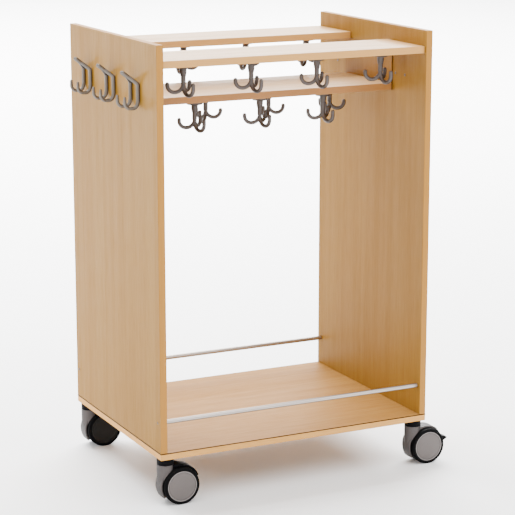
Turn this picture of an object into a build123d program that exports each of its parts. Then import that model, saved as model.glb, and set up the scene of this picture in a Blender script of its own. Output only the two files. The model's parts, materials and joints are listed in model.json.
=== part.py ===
from build123d import *
import math
import os

# A mobile coat rack for a nursery cloakroom: two tall side panels on a base board,
# three boards between them, swivelling triple hooks, double hooks and twin casters.
# Millimetres. The origin is on the floor below the rack's centre, +Z is up,
# the front faces -Y and the rack's long side lies along X.

# Panels and boards
RACK_WIDTH = 800.0
RACK_DEPTH = 600.0
BOARD_THICKNESS = 19.0
PANEL_HEIGHT = 1064.0
EDGE_BREAK = 0.8
END_PLATE_THICKNESS = 3.0
END_PLATE_BREAK = 0.4

# Heights of the boards' undersides above the base board's upper face
TOP_BOARD_RISE = 1003.0
MIDDLE_BOARD_RISE = 885.0

# Depths of the boards between the panels, and where they stand back or overlap
FRONT_BOARD_SETBACK = 9.0
FRONT_BOARD_DEPTH = 198.0
BACK_BOARD_DEPTH = 184.0
MIDDLE_BOARD_DEPTH = 264.0
MIDDLE_BOARD_TUCK = 24.0

# Shoe rods
ROD_RADIUS = 6.0
ROD_SIDES = 16
ROD_RISE = 80.0
ROD_INSET = 18.0

# Casters: swivel axes, black collar, moulded housing and twin wheels
CASTER_HEIGHT = 127.0
SWIVEL_END_INSET = 24.0
SWIVEL_EDGE_INSET = 28.0
CASTER_TRAIL = 35.0
COLLAR_RADIUS = 22.8
COLLAR_HEIGHT = 18.2
COLLAR_BREAK = 1.0
COLLAR_SIDES = 20
PIVOT_SIDES = 8
STEM_RADIUS = 6.0
STEM_LENGTH = 12.0
NECK_RADIUS = 22.8
NECK_FOOT_Z = 62.0
WHEEL_RADIUS = 50.0
WHEEL_SIDES = 24
WHEEL_WIDTH = 22.5
TWIN_WIDTH = 64.0
TYRE_SHOULDER = 2.4
HUB_RADIUS = 41.5
HUB_RIM_WIDTH = 3.2
HUB_RIM_HEIGHT = 0.9
HUB_BACK_RECESS = 1.5
AXLE_RADIUS = 4.0
AXLE_END_WALL = 4.0
WEB_BOSS_RADIUS = 24.0
WEB_BOSS_SIDES = 16
FENDER_THICKNESS = 5.0
FENDER_HALF_WIDTH = 19.0
FENDER_FRONT_ANGLE = 214.0
COVER_START_ANGLE = 120.0
COVER_CREST_ANGLE = 64.0
COVER_END_ANGLE = 22.0
COVER_HALF_WIDTH = 19.0
COVER_THICKNESS = 5.4
COVER_PEAK_X = 33.0
HOOD_END_ANGLE = 52.4
WEB_END_ANGLE = 22.0
PEDAL_START_ANGLE = 49.0
PEDAL_END_ANGLE = 8.0
PEDAL_HALF_WIDTH = 13.0
PEDAL_THICKNESS = 3.2
PEDAL_BEAD_RADIUS = 2.6
PEDAL_TAB_REACH = 105.0
PEDAL_TAB_LEVELS = (59.5, 63.5)
PEDAL_TAB_ANGLES = (0.0, 20.0)

# Triple hooks: a round base under the board, a boss and a hook that turns in it
HOOK_BASE_RADIUS = 23.0
HOOK_BASE_HEIGHT = 11.0
HOOK_BASE_TAPER = 10.0
HOOK_BASE_SIDES = 18
HOOK_BOSS_RADIUS = 8.7
HOOK_BOSS_FOOT = 28.0
HOOK_PIN_RADIUS = 3.0
HOOK_PIN_LENGTH = 14.0
SHANK_RADIUS = 5.9
SHANK_FOOT = 53.0
SHANK_SIDES = 12
ARM_RADIUS = 4.7
ARM_SIDES = 6
ARM_BEND_START = 50.0
ARM_INNER_BEND = 22.7
ARM_OUTER_BEND = 18.7
ARM_INNER_CHORDS = 2
ARM_OUTER_CHORDS = 3
ARM_DROPS = (0.0, 7.0, -2.0)
ARM_TIP_LEVEL = 48.4
ARM_TIP_HEIGHT = 1.9
ARM_TIP_TAPER = 38.0
FRONT_TURN = 163.0
REAR_TURN = FRONT_TURN - 60.0

# Where the triple hooks hang
HOOK_SPACING = 193.0
FOUR_IN_A_ROW = (-1.5, -0.5, 0.5, 1.5)
THREE_IN_A_ROW = (-1.0, 0.0, 1.0)
TOP_ROW_INSET = 85.0
NEAR_ROW_INSET = 54.0
FAR_ROW_INSET = 70.0

# Double hooks on the panels' outer faces, two bent wires each
SIDE_HOOK_PITCH = 165.0
WIRE_RADIUS = 4.4
WIRE_SIDES = 6
WIRE_HALF_GAP = 25.0
WIRE_TIP_HALF_GAP = 3.9
WIRE_RUN = (912.0, 955.0)
HAT_HOOK_JOIN = (22.0, 971.5)
HAT_HOOK_TIP = (36.5, 983.0)
COAT_HOOK_BENDS = ((7.8, 901.0), (15.0, 894.8), (24.5, 892.8), (34.0, 896.0), (39.8, 904.0))
COAT_HOOK_TIP = (41.4, 921.0)

# Clearances
RUNNING_CLEARANCE = 0.05
SIDE_CLEARANCE = 0.3
FENDER_CLEARANCE = 1.2
PEDAL_CLEARANCE = 0.4
COVER_CLEARANCE = 0.6

# Derived sizes
HALF_WIDTH = RACK_WIDTH / 2
HALF_DEPTH = RACK_DEPTH / 2
INNER_HALF = HALF_WIDTH - BOARD_THICKNESS
FRONT_EDGE = FRONT_BOARD_SETBACK - HALF_DEPTH
FRONT_BOARD_Y = (FRONT_EDGE, FRONT_EDGE + FRONT_BOARD_DEPTH)
BACK_BOARD_Y = (HALF_DEPTH - BACK_BOARD_DEPTH, HALF_DEPTH)
MIDDLE_REAR_EDGE = BACK_BOARD_Y[0] + MIDDLE_BOARD_TUCK
MIDDLE_BOARD_Y = (MIDDLE_REAR_EDGE - MIDDLE_BOARD_DEPTH, MIDDLE_REAR_EDGE)
SWIVEL_X = HALF_WIDTH - SWIVEL_END_INSET
SWIVEL_Y = HALF_DEPTH - SWIVEL_EDGE_INSET
BASE_TOP = CASTER_HEIGHT + BOARD_THICKNESS
COLLAR_FOOT = CASTER_HEIGHT - COLLAR_HEIGHT
NECK_TOP = COLLAR_FOOT - SIDE_CLEARANCE
COVER_TOP = COLLAR_FOOT - COVER_CLEARANCE
WHEEL_INNER_Y = TWIN_WIDTH / 2 - WHEEL_WIDTH
WEB_HALF_WIDTH = WHEEL_INNER_Y - SIDE_CLEARANCE
AXLE_HALF_LENGTH = TWIN_WIDTH / 2 - AXLE_END_WALL
FENDER_INNER = WHEEL_RADIUS + FENDER_CLEARANCE
FENDER_OUTER = FENDER_INNER + FENDER_THICKNESS


def save(shape, name):
    """Name one piece and write it to its own file."""
    shape.label = name
    export_step(shape, os.path.join("parts", name + ".step"))


def polar(radius, angle):
    """Point at an angle in degrees on a circle round the axle, seen from the front."""
    turn = math.radians(angle)
    return (CASTER_TRAIL + radius * math.cos(turn), WHEEL_RADIUS + radius * math.sin(turn))


def slab(x_span, y_span, z_span, edge_break):
    """A board given by its spans, with all its edges lightly broken."""
    with BuildPart() as board:
        with Locations((sum(x_span) / 2, sum(y_span) / 2, sum(z_span) / 2)):
            Box(x_span[1] - x_span[0], y_span[1] - y_span[0], z_span[1] - z_span[0])
        chamfer(board.edges(), length=edge_break)
    return board.part


def base_board():
    """The board that everything stands on, carried by the casters."""
    z_span = (CASTER_HEIGHT, BASE_TOP)
    return slab((-HALF_WIDTH, HALF_WIDTH), (-HALF_DEPTH, HALF_DEPTH), z_span, EDGE_BREAK)


def side_panel(side):
    """A tall panel standing on the base board, flush with its edges."""
    x_span = sorted((side * INNER_HALF, side * HALF_WIDTH))
    return slab(x_span, (-HALF_DEPTH, HALF_DEPTH), (BASE_TOP, BASE_TOP + PANEL_HEIGHT), EDGE_BREAK)


def cross_board(y_span, rise, half_length):
    """A board between the panels, its underside at a rise above the base board."""
    z_span = (BASE_TOP + rise, BASE_TOP + rise + BOARD_THICKNESS)
    return slab((-half_length, half_length), y_span, z_span, EDGE_BREAK)


def end_plates():
    """Thin plates that carry the middle board's ends, up to the top boards' underside."""
    middle = INNER_HALF - END_PLATE_THICKNESS / 2
    height = TOP_BOARD_RISE - MIDDLE_BOARD_RISE
    with BuildPart() as plates:
        for side in (-1, 1):
            centre = (side * middle, sum(MIDDLE_BOARD_Y) / 2, BASE_TOP + MIDDLE_BOARD_RISE + height / 2)
            with Locations(centre):
                Box(END_PLATE_THICKNESS, MIDDLE_BOARD_Y[1] - MIDDLE_BOARD_Y[0], height)
        chamfer(plates.edges().filter_by(Axis.Z), length=END_PLATE_BREAK)
    return plates.part


def shoe_rod(side):
    """A round rod between the panels, low over the base board."""
    start = (-INNER_HALF, side * (HALF_DEPTH - ROD_INSET), BASE_TOP + ROD_RISE)
    with BuildPart() as rod:
        with BuildSketch(Plane(origin=start, x_dir=(0, 1, 0), z_dir=(1, 0, 0))):
            RegularPolygon(ROD_RADIUS, ROD_SIDES)
        extrude(amount=2 * INNER_HALF)
    return rod.part


def hook_base():
    """Tapered base disc and boss of one triple hook, with the bore that its pin turns in."""
    with BuildPart() as base:
        with BuildSketch():
            RegularPolygon(HOOK_BASE_RADIUS, HOOK_BASE_SIDES)
        extrude(amount=-HOOK_BASE_HEIGHT, taper=HOOK_BASE_TAPER)
        with BuildSketch(Plane.XY.offset(-HOOK_BOSS_FOOT)):
            RegularPolygon(HOOK_BOSS_RADIUS, SHANK_SIDES)
        extrude(amount=HOOK_BOSS_FOOT - HOOK_BASE_HEIGHT)
        with BuildSketch(Plane.XY.offset(-HOOK_BOSS_FOOT)):
            RegularPolygon(HOOK_PIN_RADIUS + RUNNING_CLEARANCE, PIVOT_SIDES, major_radius=False)
        extrude(amount=HOOK_PIN_LENGTH + SIDE_CLEARANCE, mode=Mode.SUBTRACT)
    return base.part


def bend_points(centre, radius, first, last, chords):
    """Points of one round bend as chords, from one angle in degrees to the other."""
    points = []
    for step in range(1, chords + 1):
        turn = math.radians(first + (last - first) * step / chords)
        points.append((centre[0] + radius * math.cos(turn), centre[1] + radius * math.sin(turn)))
    return points


def arm_route(drop):
    """Line of one arm from inside the shank out, down and up to its tip, lowered by a drop."""
    start = -ARM_BEND_START - drop
    bottom = start - ARM_INNER_BEND
    route = [(0, ARM_RADIUS - ARM_BEND_START), (0, start)]
    route += bend_points((ARM_INNER_BEND, start), ARM_INNER_BEND, 180, 270, ARM_INNER_CHORDS)
    second_centre = (ARM_INNER_BEND, bottom + ARM_OUTER_BEND)
    route += bend_points(second_centre, ARM_OUTER_BEND, 270, 360, ARM_OUTER_CHORDS)
    route += [(ARM_INNER_BEND + ARM_OUTER_BEND, -ARM_TIP_LEVEL)]
    return route


def triple_hook():
    """Pin, shank and three arms at equal angles, the first along +X, each at its own depth."""
    with BuildPart() as hook:
        with BuildSketch(Plane.XY.offset(-HOOK_BOSS_FOOT - SIDE_CLEARANCE)):
            RegularPolygon(HOOK_PIN_RADIUS, PIVOT_SIDES)
        extrude(amount=HOOK_PIN_LENGTH)
        with BuildSketch(Plane.XY.offset(-SHANK_FOOT)):
            RegularPolygon(SHANK_RADIUS, SHANK_SIDES)
        extrude(amount=SHANK_FOOT - HOOK_BOSS_FOOT - SIDE_CLEARANCE)
        for arm, drop in enumerate(ARM_DROPS):
            turn = math.radians(360 * arm / len(ARM_DROPS))
            heading = Vector(math.cos(turn), math.sin(turn), 0)
            upright = Plane(origin=(0, 0, 0), x_dir=heading, z_dir=heading.cross(Vector(0, 0, 1)))
            with BuildLine(upright):
                line = Polyline(*arm_route(drop))
            with BuildSketch(Plane(origin=line @ 0, x_dir=heading, z_dir=(0, 0, -1))):
                RegularPolygon(ARM_RADIUS, ARM_SIDES)
            sweep(path=line, transition=Transition.RIGHT)
            with BuildSketch(Plane(origin=line @ 1, x_dir=heading, z_dir=(0, 0, 1))):
                RegularPolygon(ARM_RADIUS, ARM_SIDES)
            extrude(amount=ARM_TIP_HEIGHT, taper=ARM_TIP_TAPER)
    return hook.part


def side_hook():
    """One double hook: two wires side by side as a hat hook, then apart as two coat hooks."""
    with BuildPart() as hook:
        for wire in (-1, 1):
            apart = wire * WIRE_HALF_GAP
            together = wire * WIRE_TIP_HALF_GAP
            route = [(COAT_HOOK_TIP[0], apart, COAT_HOOK_TIP[1])]
            route += [(reach, apart, level) for reach, level in reversed(COAT_HOOK_BENDS)]
            route += [(WIRE_RADIUS, apart, level) for level in WIRE_RUN]
            route += [(HAT_HOOK_JOIN[0], together, HAT_HOOK_JOIN[1])]
            route += [(HAT_HOOK_TIP[0], together, HAT_HOOK_TIP[1])]
            with BuildLine():
                line = Polyline(*route)
            with BuildSketch(Plane(origin=line @ 0, x_dir=(0, 1, 0), z_dir=line % 0)):
                RegularPolygon(WIRE_RADIUS, WIRE_SIDES, major_radius=False, rotation=90 - 180 / WIRE_SIDES)
            sweep(path=line, transition=Transition.RIGHT)
    return hook.part


def side_hook_row(side):
    """Three double hooks on one panel's outer face."""
    turn = 0 if side > 0 else 180
    places = [Location((side * HALF_WIDTH, row * SIDE_HOOK_PITCH, 0), (0, 0, turn)) for row in (-1, 0, 1)]
    lift = Location((0, 0, BASE_TOP))
    return Compound(children=[side_hook().moved(lift).moved(place) for place in places])


def caster_collar():
    """Fixed collar under the base board, with the bore for one caster's stem."""
    with BuildPart() as collar:
        with BuildSketch(Plane.XY.offset(COLLAR_FOOT)):
            RegularPolygon(COLLAR_RADIUS, COLLAR_SIDES)
        extrude(amount=COLLAR_HEIGHT)
        chamfer(collar.edges().group_by(Axis.Z)[0], length=COLLAR_BREAK)
        with BuildSketch(Plane.XY.offset(COLLAR_FOOT)):
            RegularPolygon(STEM_RADIUS + RUNNING_CLEARANCE, PIVOT_SIDES, major_radius=False)
        extrude(amount=STEM_LENGTH + SIDE_CLEARANCE, mode=Mode.SUBTRACT)
    return collar.part


def band_outline(inner, outer, first, last):
    """Closed outline of a band round the axle between two radii and two angles."""
    middle = (first + last) / 2
    ThreePointArc(polar(inner, first), polar(inner, middle), polar(inner, last))
    ThreePointArc(polar(outer, first), polar(outer, middle), polar(outer, last))
    Line(polar(inner, first), polar(outer, first))
    Line(polar(inner, last), polar(outer, last))


def caster_housing(hood_end):
    """Swivelling housing: stem, neck, web between the wheels and hood over them."""
    with BuildPart() as housing:
        with BuildSketch(Plane.XY.offset(NECK_FOOT_Z)):
            RegularPolygon(NECK_RADIUS, COLLAR_SIDES)
        extrude(amount=NECK_TOP - NECK_FOOT_Z)
        with BuildSketch(Plane.XZ):
            with Locations((CASTER_TRAIL, WHEEL_RADIUS)):
                Circle(FENDER_INNER)
        extrude(amount=NECK_RADIUS, both=True, mode=Mode.SUBTRACT)
        with BuildSketch(Plane.XZ):
            with BuildLine():
                band_outline(FENDER_INNER, FENDER_OUTER, hood_end, FENDER_FRONT_ANGLE)
            make_face()
        extrude(amount=FENDER_HALF_WIDTH, both=True)
        with BuildSketch(Plane.XZ):
            with Locations((CASTER_TRAIL, WHEEL_RADIUS)):
                RegularPolygon(WEB_BOSS_RADIUS, WEB_BOSS_SIDES)
            with BuildLine():
                middle = (WEB_END_ANGLE + FENDER_FRONT_ANGLE) / 2
                end = polar(FENDER_INNER, WEB_END_ANGLE)
                ThreePointArc(end, polar(FENDER_INNER, middle), polar(FENDER_INNER, FENDER_FRONT_ANGLE))
                Polyline(polar(FENDER_INNER, FENDER_FRONT_ANGLE), polar(0, 0), end)
            make_face()
        extrude(amount=WEB_HALF_WIDTH, both=True)
        with BuildSketch(Plane.XY.offset(NECK_TOP)):
            RegularPolygon(STEM_RADIUS, PIVOT_SIDES)
        extrude(amount=STEM_LENGTH)
        with BuildSketch(Plane.XZ):
            with Locations((CASTER_TRAIL, WHEEL_RADIUS)):
                RegularPolygon(AXLE_RADIUS, PIVOT_SIDES)
        extrude(amount=WEB_HALF_WIDTH, both=True, mode=Mode.SUBTRACT)
    return housing.part


def caster_cover():
    """Black cover that closes the hood behind the neck on a caster without a brake."""
    inner = FENDER_INNER
    outer = inner + COVER_THICKNESS
    start = polar(inner, COVER_START_ANGLE)
    end = polar(inner, COVER_END_ANGLE)
    lip = polar(outer, COVER_END_ANGLE)
    crest = polar(outer, COVER_CREST_ANGLE)
    with BuildPart() as cover:
        with BuildSketch(Plane.XZ):
            with BuildLine():
                ThreePointArc(start, polar(inner, (COVER_START_ANGLE + COVER_END_ANGLE) / 2), end)
                Line(end, lip)
                ThreePointArc(lip, polar(outer, (COVER_CREST_ANGLE + COVER_END_ANGLE) / 2), crest)
                Polyline(crest, (COVER_PEAK_X, COVER_TOP), (start[0], COVER_TOP), start)
            make_face()
        extrude(amount=COVER_HALF_WIDTH, both=True)
        with BuildSketch(Plane.XY.offset(NECK_FOOT_Z)):
            RegularPolygon(NECK_RADIUS, COLLAR_SIDES)
        extrude(amount=NECK_TOP - NECK_FOOT_Z, mode=Mode.SUBTRACT)
    return cover.part


def brake_pedal():
    """Brake pedal: a band over the wheels that hangs on its bead and ends in a toe tab."""
    inner = FENDER_INNER + PEDAL_CLEARANCE
    outer = inner + PEDAL_THICKNESS
    bead = polar(inner + PEDAL_BEAD_RADIUS, PEDAL_START_ANGLE)
    with BuildPart() as pedal:
        with BuildSketch(Plane.XZ):
            with BuildLine():
                band_outline(inner, outer, PEDAL_START_ANGLE, PEDAL_END_ANGLE)
            make_face()
            with Locations(bead):
                Circle(PEDAL_BEAD_RADIUS)
            with BuildLine():
                Polyline(
                    polar(inner, PEDAL_TAB_ANGLES[0]),
                    (PEDAL_TAB_REACH, PEDAL_TAB_LEVELS[0]),
                    (PEDAL_TAB_REACH, PEDAL_TAB_LEVELS[1]),
                    polar(outer, PEDAL_TAB_ANGLES[1]),
                    polar(inner, PEDAL_TAB_ANGLES[1]),
                    close=True,
                )
            make_face()
        extrude(amount=PEDAL_HALF_WIDTH, both=True)
    return pedal.part


def wheel_plane(y):
    """Plane across the axle at a distance from the caster's middle, facing the rear."""
    return Plane(origin=(CASTER_TRAIL, y, WHEEL_RADIUS), x_dir=(1, 0, 0), z_dir=(0, 1, 0))


def ring_prism(y_from, y_to, radius, chamfer_length=0.0):
    """Many-sided disc round the axle that rests on one of its flats."""
    with BuildPart() as disc:
        with BuildSketch(wheel_plane(min(y_from, y_to))):
            RegularPolygon(radius, WHEEL_SIDES, major_radius=False, rotation=180 / WHEEL_SIDES)
        extrude(amount=abs(y_to - y_from))
        if chamfer_length:
            edges = disc.edges().group_by(Axis.Y)
            chamfer(edges[0] + edges[-1], length=chamfer_length)
    return disc.part


def caster_tyre(side):
    """Black tyre of one wheel, its rounded shoulders as bevels."""
    inner = side * WHEEL_INNER_Y
    outer = side * TWIN_WIDTH / 2
    with BuildPart() as tyre:
        add(ring_prism(inner, outer, WHEEL_RADIUS, TYRE_SHOULDER))
        add(ring_prism(inner, outer, HUB_RADIUS), mode=Mode.SUBTRACT)
    return tyre.part


def caster_hub(side):
    """Grey hub of one wheel: a raised rim round a flat disc, and a blind axle bore."""
    inner = side * (WHEEL_INNER_Y + HUB_BACK_RECESS)
    outer = side * TWIN_WIDTH / 2
    with BuildPart() as hub:
        add(ring_prism(inner, outer, HUB_RADIUS))
        add(
            ring_prism(outer - side * HUB_RIM_HEIGHT, outer, HUB_RADIUS - HUB_RIM_WIDTH),
            mode=Mode.SUBTRACT,
        )
        with BuildSketch(wheel_plane(inner)):
            RegularPolygon(AXLE_RADIUS + RUNNING_CLEARANCE, PIVOT_SIDES, major_radius=False)
        bore = AXLE_HALF_LENGTH + SIDE_CLEARANCE - abs(inner)
        extrude(amount=side * bore, mode=Mode.SUBTRACT)
    return hub.part


def caster_axle():
    """Axle pressed through the web, its ends inside the hubs."""
    with BuildPart() as axle:
        with BuildSketch(wheel_plane(0)):
            RegularPolygon(AXLE_RADIUS, PIVOT_SIDES)
        extrude(amount=AXLE_HALF_LENGTH, both=True)
    return axle.part


def caster_pieces(outward, braked):
    """The pieces of one caster, its swivel axis on Z, and outward the sign of its Y."""
    pieces = {
        "housing": caster_housing(HOOD_END_ANGLE if braked else COVER_START_ANGLE),
        "axle": caster_axle(),
        "outer_tyre": caster_tyre(outward),
        "inner_tyre": caster_tyre(-outward),
        "outer_hub": caster_hub(outward),
        "inner_hub": caster_hub(-outward),
    }
    if braked:
        pieces["pedal"] = brake_pedal()
    else:
        pieces["cover"] = caster_cover()
    return pieces


def hook_places():
    """Node name, position and turn of every triple hook."""
    rows = (
        ("front", TOP_ROW_INSET - HALF_DEPTH, TOP_BOARD_RISE, FOUR_IN_A_ROW, FRONT_TURN),
        ("near", MIDDLE_BOARD_Y[0] + NEAR_ROW_INSET, MIDDLE_BOARD_RISE, THREE_IN_A_ROW, FRONT_TURN),
        ("far", MIDDLE_BOARD_Y[1] - FAR_ROW_INSET, MIDDLE_BOARD_RISE, FOUR_IN_A_ROW, REAR_TURN),
        ("back", HALF_DEPTH - TOP_ROW_INSET, TOP_BOARD_RISE, FOUR_IN_A_ROW, REAR_TURN),
    )
    places = []
    for row, y, rise, steps, turn in rows:
        for number, step in enumerate(steps, start=1):
            position = (step * HOOK_SPACING, y, BASE_TOP + rise)
            places.append((row + "_hook_" + str(number), position, turn))
    return places


save(side_panel(-1), "left_panel")
save(side_panel(1), "right_panel")
save(base_board(), "base_board")
save(cross_board(FRONT_BOARD_Y, TOP_BOARD_RISE, INNER_HALF), "front_top_board")
save(cross_board(BACK_BOARD_Y, TOP_BOARD_RISE, INNER_HALF), "back_top_board")
save(cross_board(MIDDLE_BOARD_Y, MIDDLE_BOARD_RISE, INNER_HALF - END_PLATE_THICKNESS), "middle_board")
save(end_plates(), "end_plates")
save(shoe_rod(-1), "front_rod")
save(shoe_rod(1), "rear_rod")
save(side_hook_row(-1), "left_side_hooks")
save(side_hook_row(1), "right_side_hooks")

base_shape = hook_base()
hook_shape = triple_hook()
save(Compound(children=[base_shape.moved(Location(place)) for _, place, _ in hook_places()]), "hook_bases")
for hook_name, hook_place, hook_turn in hook_places():
    save(hook_shape.moved(Location(hook_place, (0, 0, hook_turn))), hook_name)

corners = {
    "front_left": (-SWIVEL_X, -SWIVEL_Y, False),
    "front_right": (SWIVEL_X, -SWIVEL_Y, True),
    "rear_left": (-SWIVEL_X, SWIVEL_Y, True),
    "rear_right": (SWIVEL_X, SWIVEL_Y, False),
}
collar_places = [Location((x, y, 0)) for x, y, _ in corners.values()]
collar_shape = caster_collar()
save(Compound(children=[collar_shape.moved(place) for place in collar_places]), "caster_collars")
for corner, (corner_x, corner_y, braked) in corners.items():
    for piece, shape in caster_pieces(math.copysign(1, corner_y), braked).items():
        save(shape.moved(Location((corner_x, corner_y, 0))), corner + "_" + piece)
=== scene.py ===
"""Looks of a mobile coat rack: wood, bent metal hooks, shoe rods, casters, screws, light and camera."""

import json
import logging
import math
from dataclasses import dataclass
from enum import Enum

import bmesh
import bpy
from mathutils import Matrix, Vector


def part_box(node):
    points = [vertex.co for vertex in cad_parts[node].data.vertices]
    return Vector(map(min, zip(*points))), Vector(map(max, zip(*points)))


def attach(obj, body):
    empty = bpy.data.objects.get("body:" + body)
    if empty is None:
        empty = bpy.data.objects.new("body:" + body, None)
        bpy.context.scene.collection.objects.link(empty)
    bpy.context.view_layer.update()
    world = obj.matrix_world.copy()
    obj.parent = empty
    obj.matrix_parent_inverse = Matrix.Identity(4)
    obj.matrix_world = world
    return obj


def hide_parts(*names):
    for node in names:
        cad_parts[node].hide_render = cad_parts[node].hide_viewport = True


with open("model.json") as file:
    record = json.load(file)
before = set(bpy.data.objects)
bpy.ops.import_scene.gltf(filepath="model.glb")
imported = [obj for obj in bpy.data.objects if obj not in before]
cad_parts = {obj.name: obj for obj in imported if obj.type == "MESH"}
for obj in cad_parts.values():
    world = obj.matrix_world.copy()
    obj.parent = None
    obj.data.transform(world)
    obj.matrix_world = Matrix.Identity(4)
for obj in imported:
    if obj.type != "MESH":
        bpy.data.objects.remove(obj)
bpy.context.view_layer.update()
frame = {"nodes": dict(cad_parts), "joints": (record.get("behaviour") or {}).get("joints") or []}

LOG = logging.getLogger("coat_rack")
MM = 0.001

Point = tuple[float, float]
Colour = tuple[float, float, float, float]


class Grain(Enum):
    """Direction in which the wood's grain runs."""

    ALONG_X = (0.035, 1.0, 1.0)
    ALONG_Z = (1.0, 1.0, 0.035)


class FaceSide(Enum):
    """Direction that a board's broad faces look."""

    SIDEWAYS = (1.0, 0.0, 0.0)
    UPWARDS = (0.0, 0.0, 1.0)


class Axis(Enum):
    """Axis of a turned piece."""

    Y = "y"
    Z = "z"


def srgb(red: int, green: int, blue: int) -> Colour:
    """Turn a colour seen on screen into the linear colour that a shader takes.

    Args:
        red: Red from 0 to 255.
        green: Green from 0 to 255.
        blue: Blue from 0 to 255.

    Returns:
        Linear red, green, blue and an alpha of one.
    """

    def linear(channel: int) -> float:
        """Turn one channel linear.

        Args:
            channel: The channel from 0 to 255.

        Returns:
            Its linear value.
        """
        level = channel / 255
        return level / 12.92 if level <= 0.04045 else ((level + 0.055) / 1.055) ** 2.4

    return (linear(red), linear(green), linear(blue), 1.0)


class NodeSketch:
    """Adds and links the nodes of one tree with short calls."""

    def __init__(self, tree: bpy.types.NodeTree) -> None:
        """Work on a tree.

        Args:
            tree: Shader or geometry node tree.
        """
        self.tree = tree

    def add(
        self, kind: str, inputs: dict[str | int, object] | None = None, **settings: object
    ) -> bpy.types.Node:
        """Add a node.

        Args:
            kind: The node's type name.
            inputs: Values or sockets for its inputs, by name or number.
            **settings: The node's own properties.

        Returns:
            The new node.
        """
        node = self.tree.nodes.new(kind)
        for name, value in settings.items():
            setattr(node, name, value)
        for key, value in (inputs or {}).items():
            self.feed(value, node.inputs[key])
        return node

    def feed(self, value: object, socket: bpy.types.NodeSocket) -> None:
        """Link a socket to an input, or set the input's own value.

        Args:
            value: An output socket, or a plain value.
            socket: The input.
        """
        if isinstance(value, bpy.types.NodeSocket):
            self.tree.links.new(value, socket)
        else:
            socket.default_value = value

    def sum_of(self, operation: str, first: object, second: object = 0.0) -> bpy.types.NodeSocket:
        """Work out two numbers with a Math node.

        Args:
            operation: The Math node's operation.
            first: Number or socket.
            second: Number or socket.

        Returns:
            The result's socket.
        """
        node = self.add("ShaderNodeMath", {0: first, 1: second}, operation=operation)
        return node.outputs[0]

    def blend(
        self, factor: object, first: object, second: object, mode: str = "MIX"
    ) -> bpy.types.NodeSocket:
        """Mix two colours.

        Args:
            factor: How much of the second colour shows.
            first: Colour or socket.
            second: Colour or socket.
            mode: The Mix node's blend type.

        Returns:
            The mixed colour's socket.
        """
        node = self.add("ShaderNodeMix", data_type="RGBA", blend_type=mode)
        self.feed(factor, node.inputs["Factor"])
        self.feed(first, node.inputs[6])
        self.feed(second, node.inputs[7])
        return node.outputs[2]

    def spread(
        self, value: object, low: float, high: float, to_low: float = 0.0, to_high: float = 1.0
    ) -> object:
        """Spread a range of numbers over another, clamped at both ends.

        Args:
            value: Number or socket.
            low: Value that gives to_low.
            high: Value that gives to_high.
            to_low: Lowest result.
            to_high: Highest result.

        Returns:
            The result's socket.
        """
        inputs = {"Value": value, "From Min": low, "From Max": high, "To Min": to_low, "To Max": to_high}
        return self.add("ShaderNodeMapRange", inputs).outputs[0]


def shader_group(
    name: str, inputs: dict[str, tuple[str, object]], outputs: dict[str, str]
) -> bpy.types.NodeTree:
    """Make an empty shader node group with named sockets.

    Args:
        name: The group's name.
        inputs: Socket type and default value by input name.
        outputs: Socket type by output name.

    Returns:
        The group, with its input and output nodes in place.
    """
    group = bpy.data.node_groups.new(name, "ShaderNodeTree")
    for label, (kind, default) in inputs.items():
        socket = group.interface.new_socket(name=label, in_out="INPUT", socket_type=kind)
        if default is not None:
            socket.default_value = default
    for label, kind in outputs.items():
        group.interface.new_socket(name=label, in_out="OUTPUT", socket_type=kind)
    group.nodes.new("NodeGroupInput")
    group.nodes.new("NodeGroupOutput")
    return group


FLOAT = "NodeSocketFloat"
COLOUR = "NodeSocketColor"
VECTOR = "NodeSocketVector"


def group_ends(group: bpy.types.NodeTree) -> tuple[bpy.types.Node, bpy.types.Node]:
    """Find the input and output node of a group.

    Args:
        group: The group.

    Returns:
        Its input node and its output node.
    """
    ends = {node.bl_idname: node for node in group.nodes}
    return ends["NodeGroupInput"], ends["NodeGroupOutput"]


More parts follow.
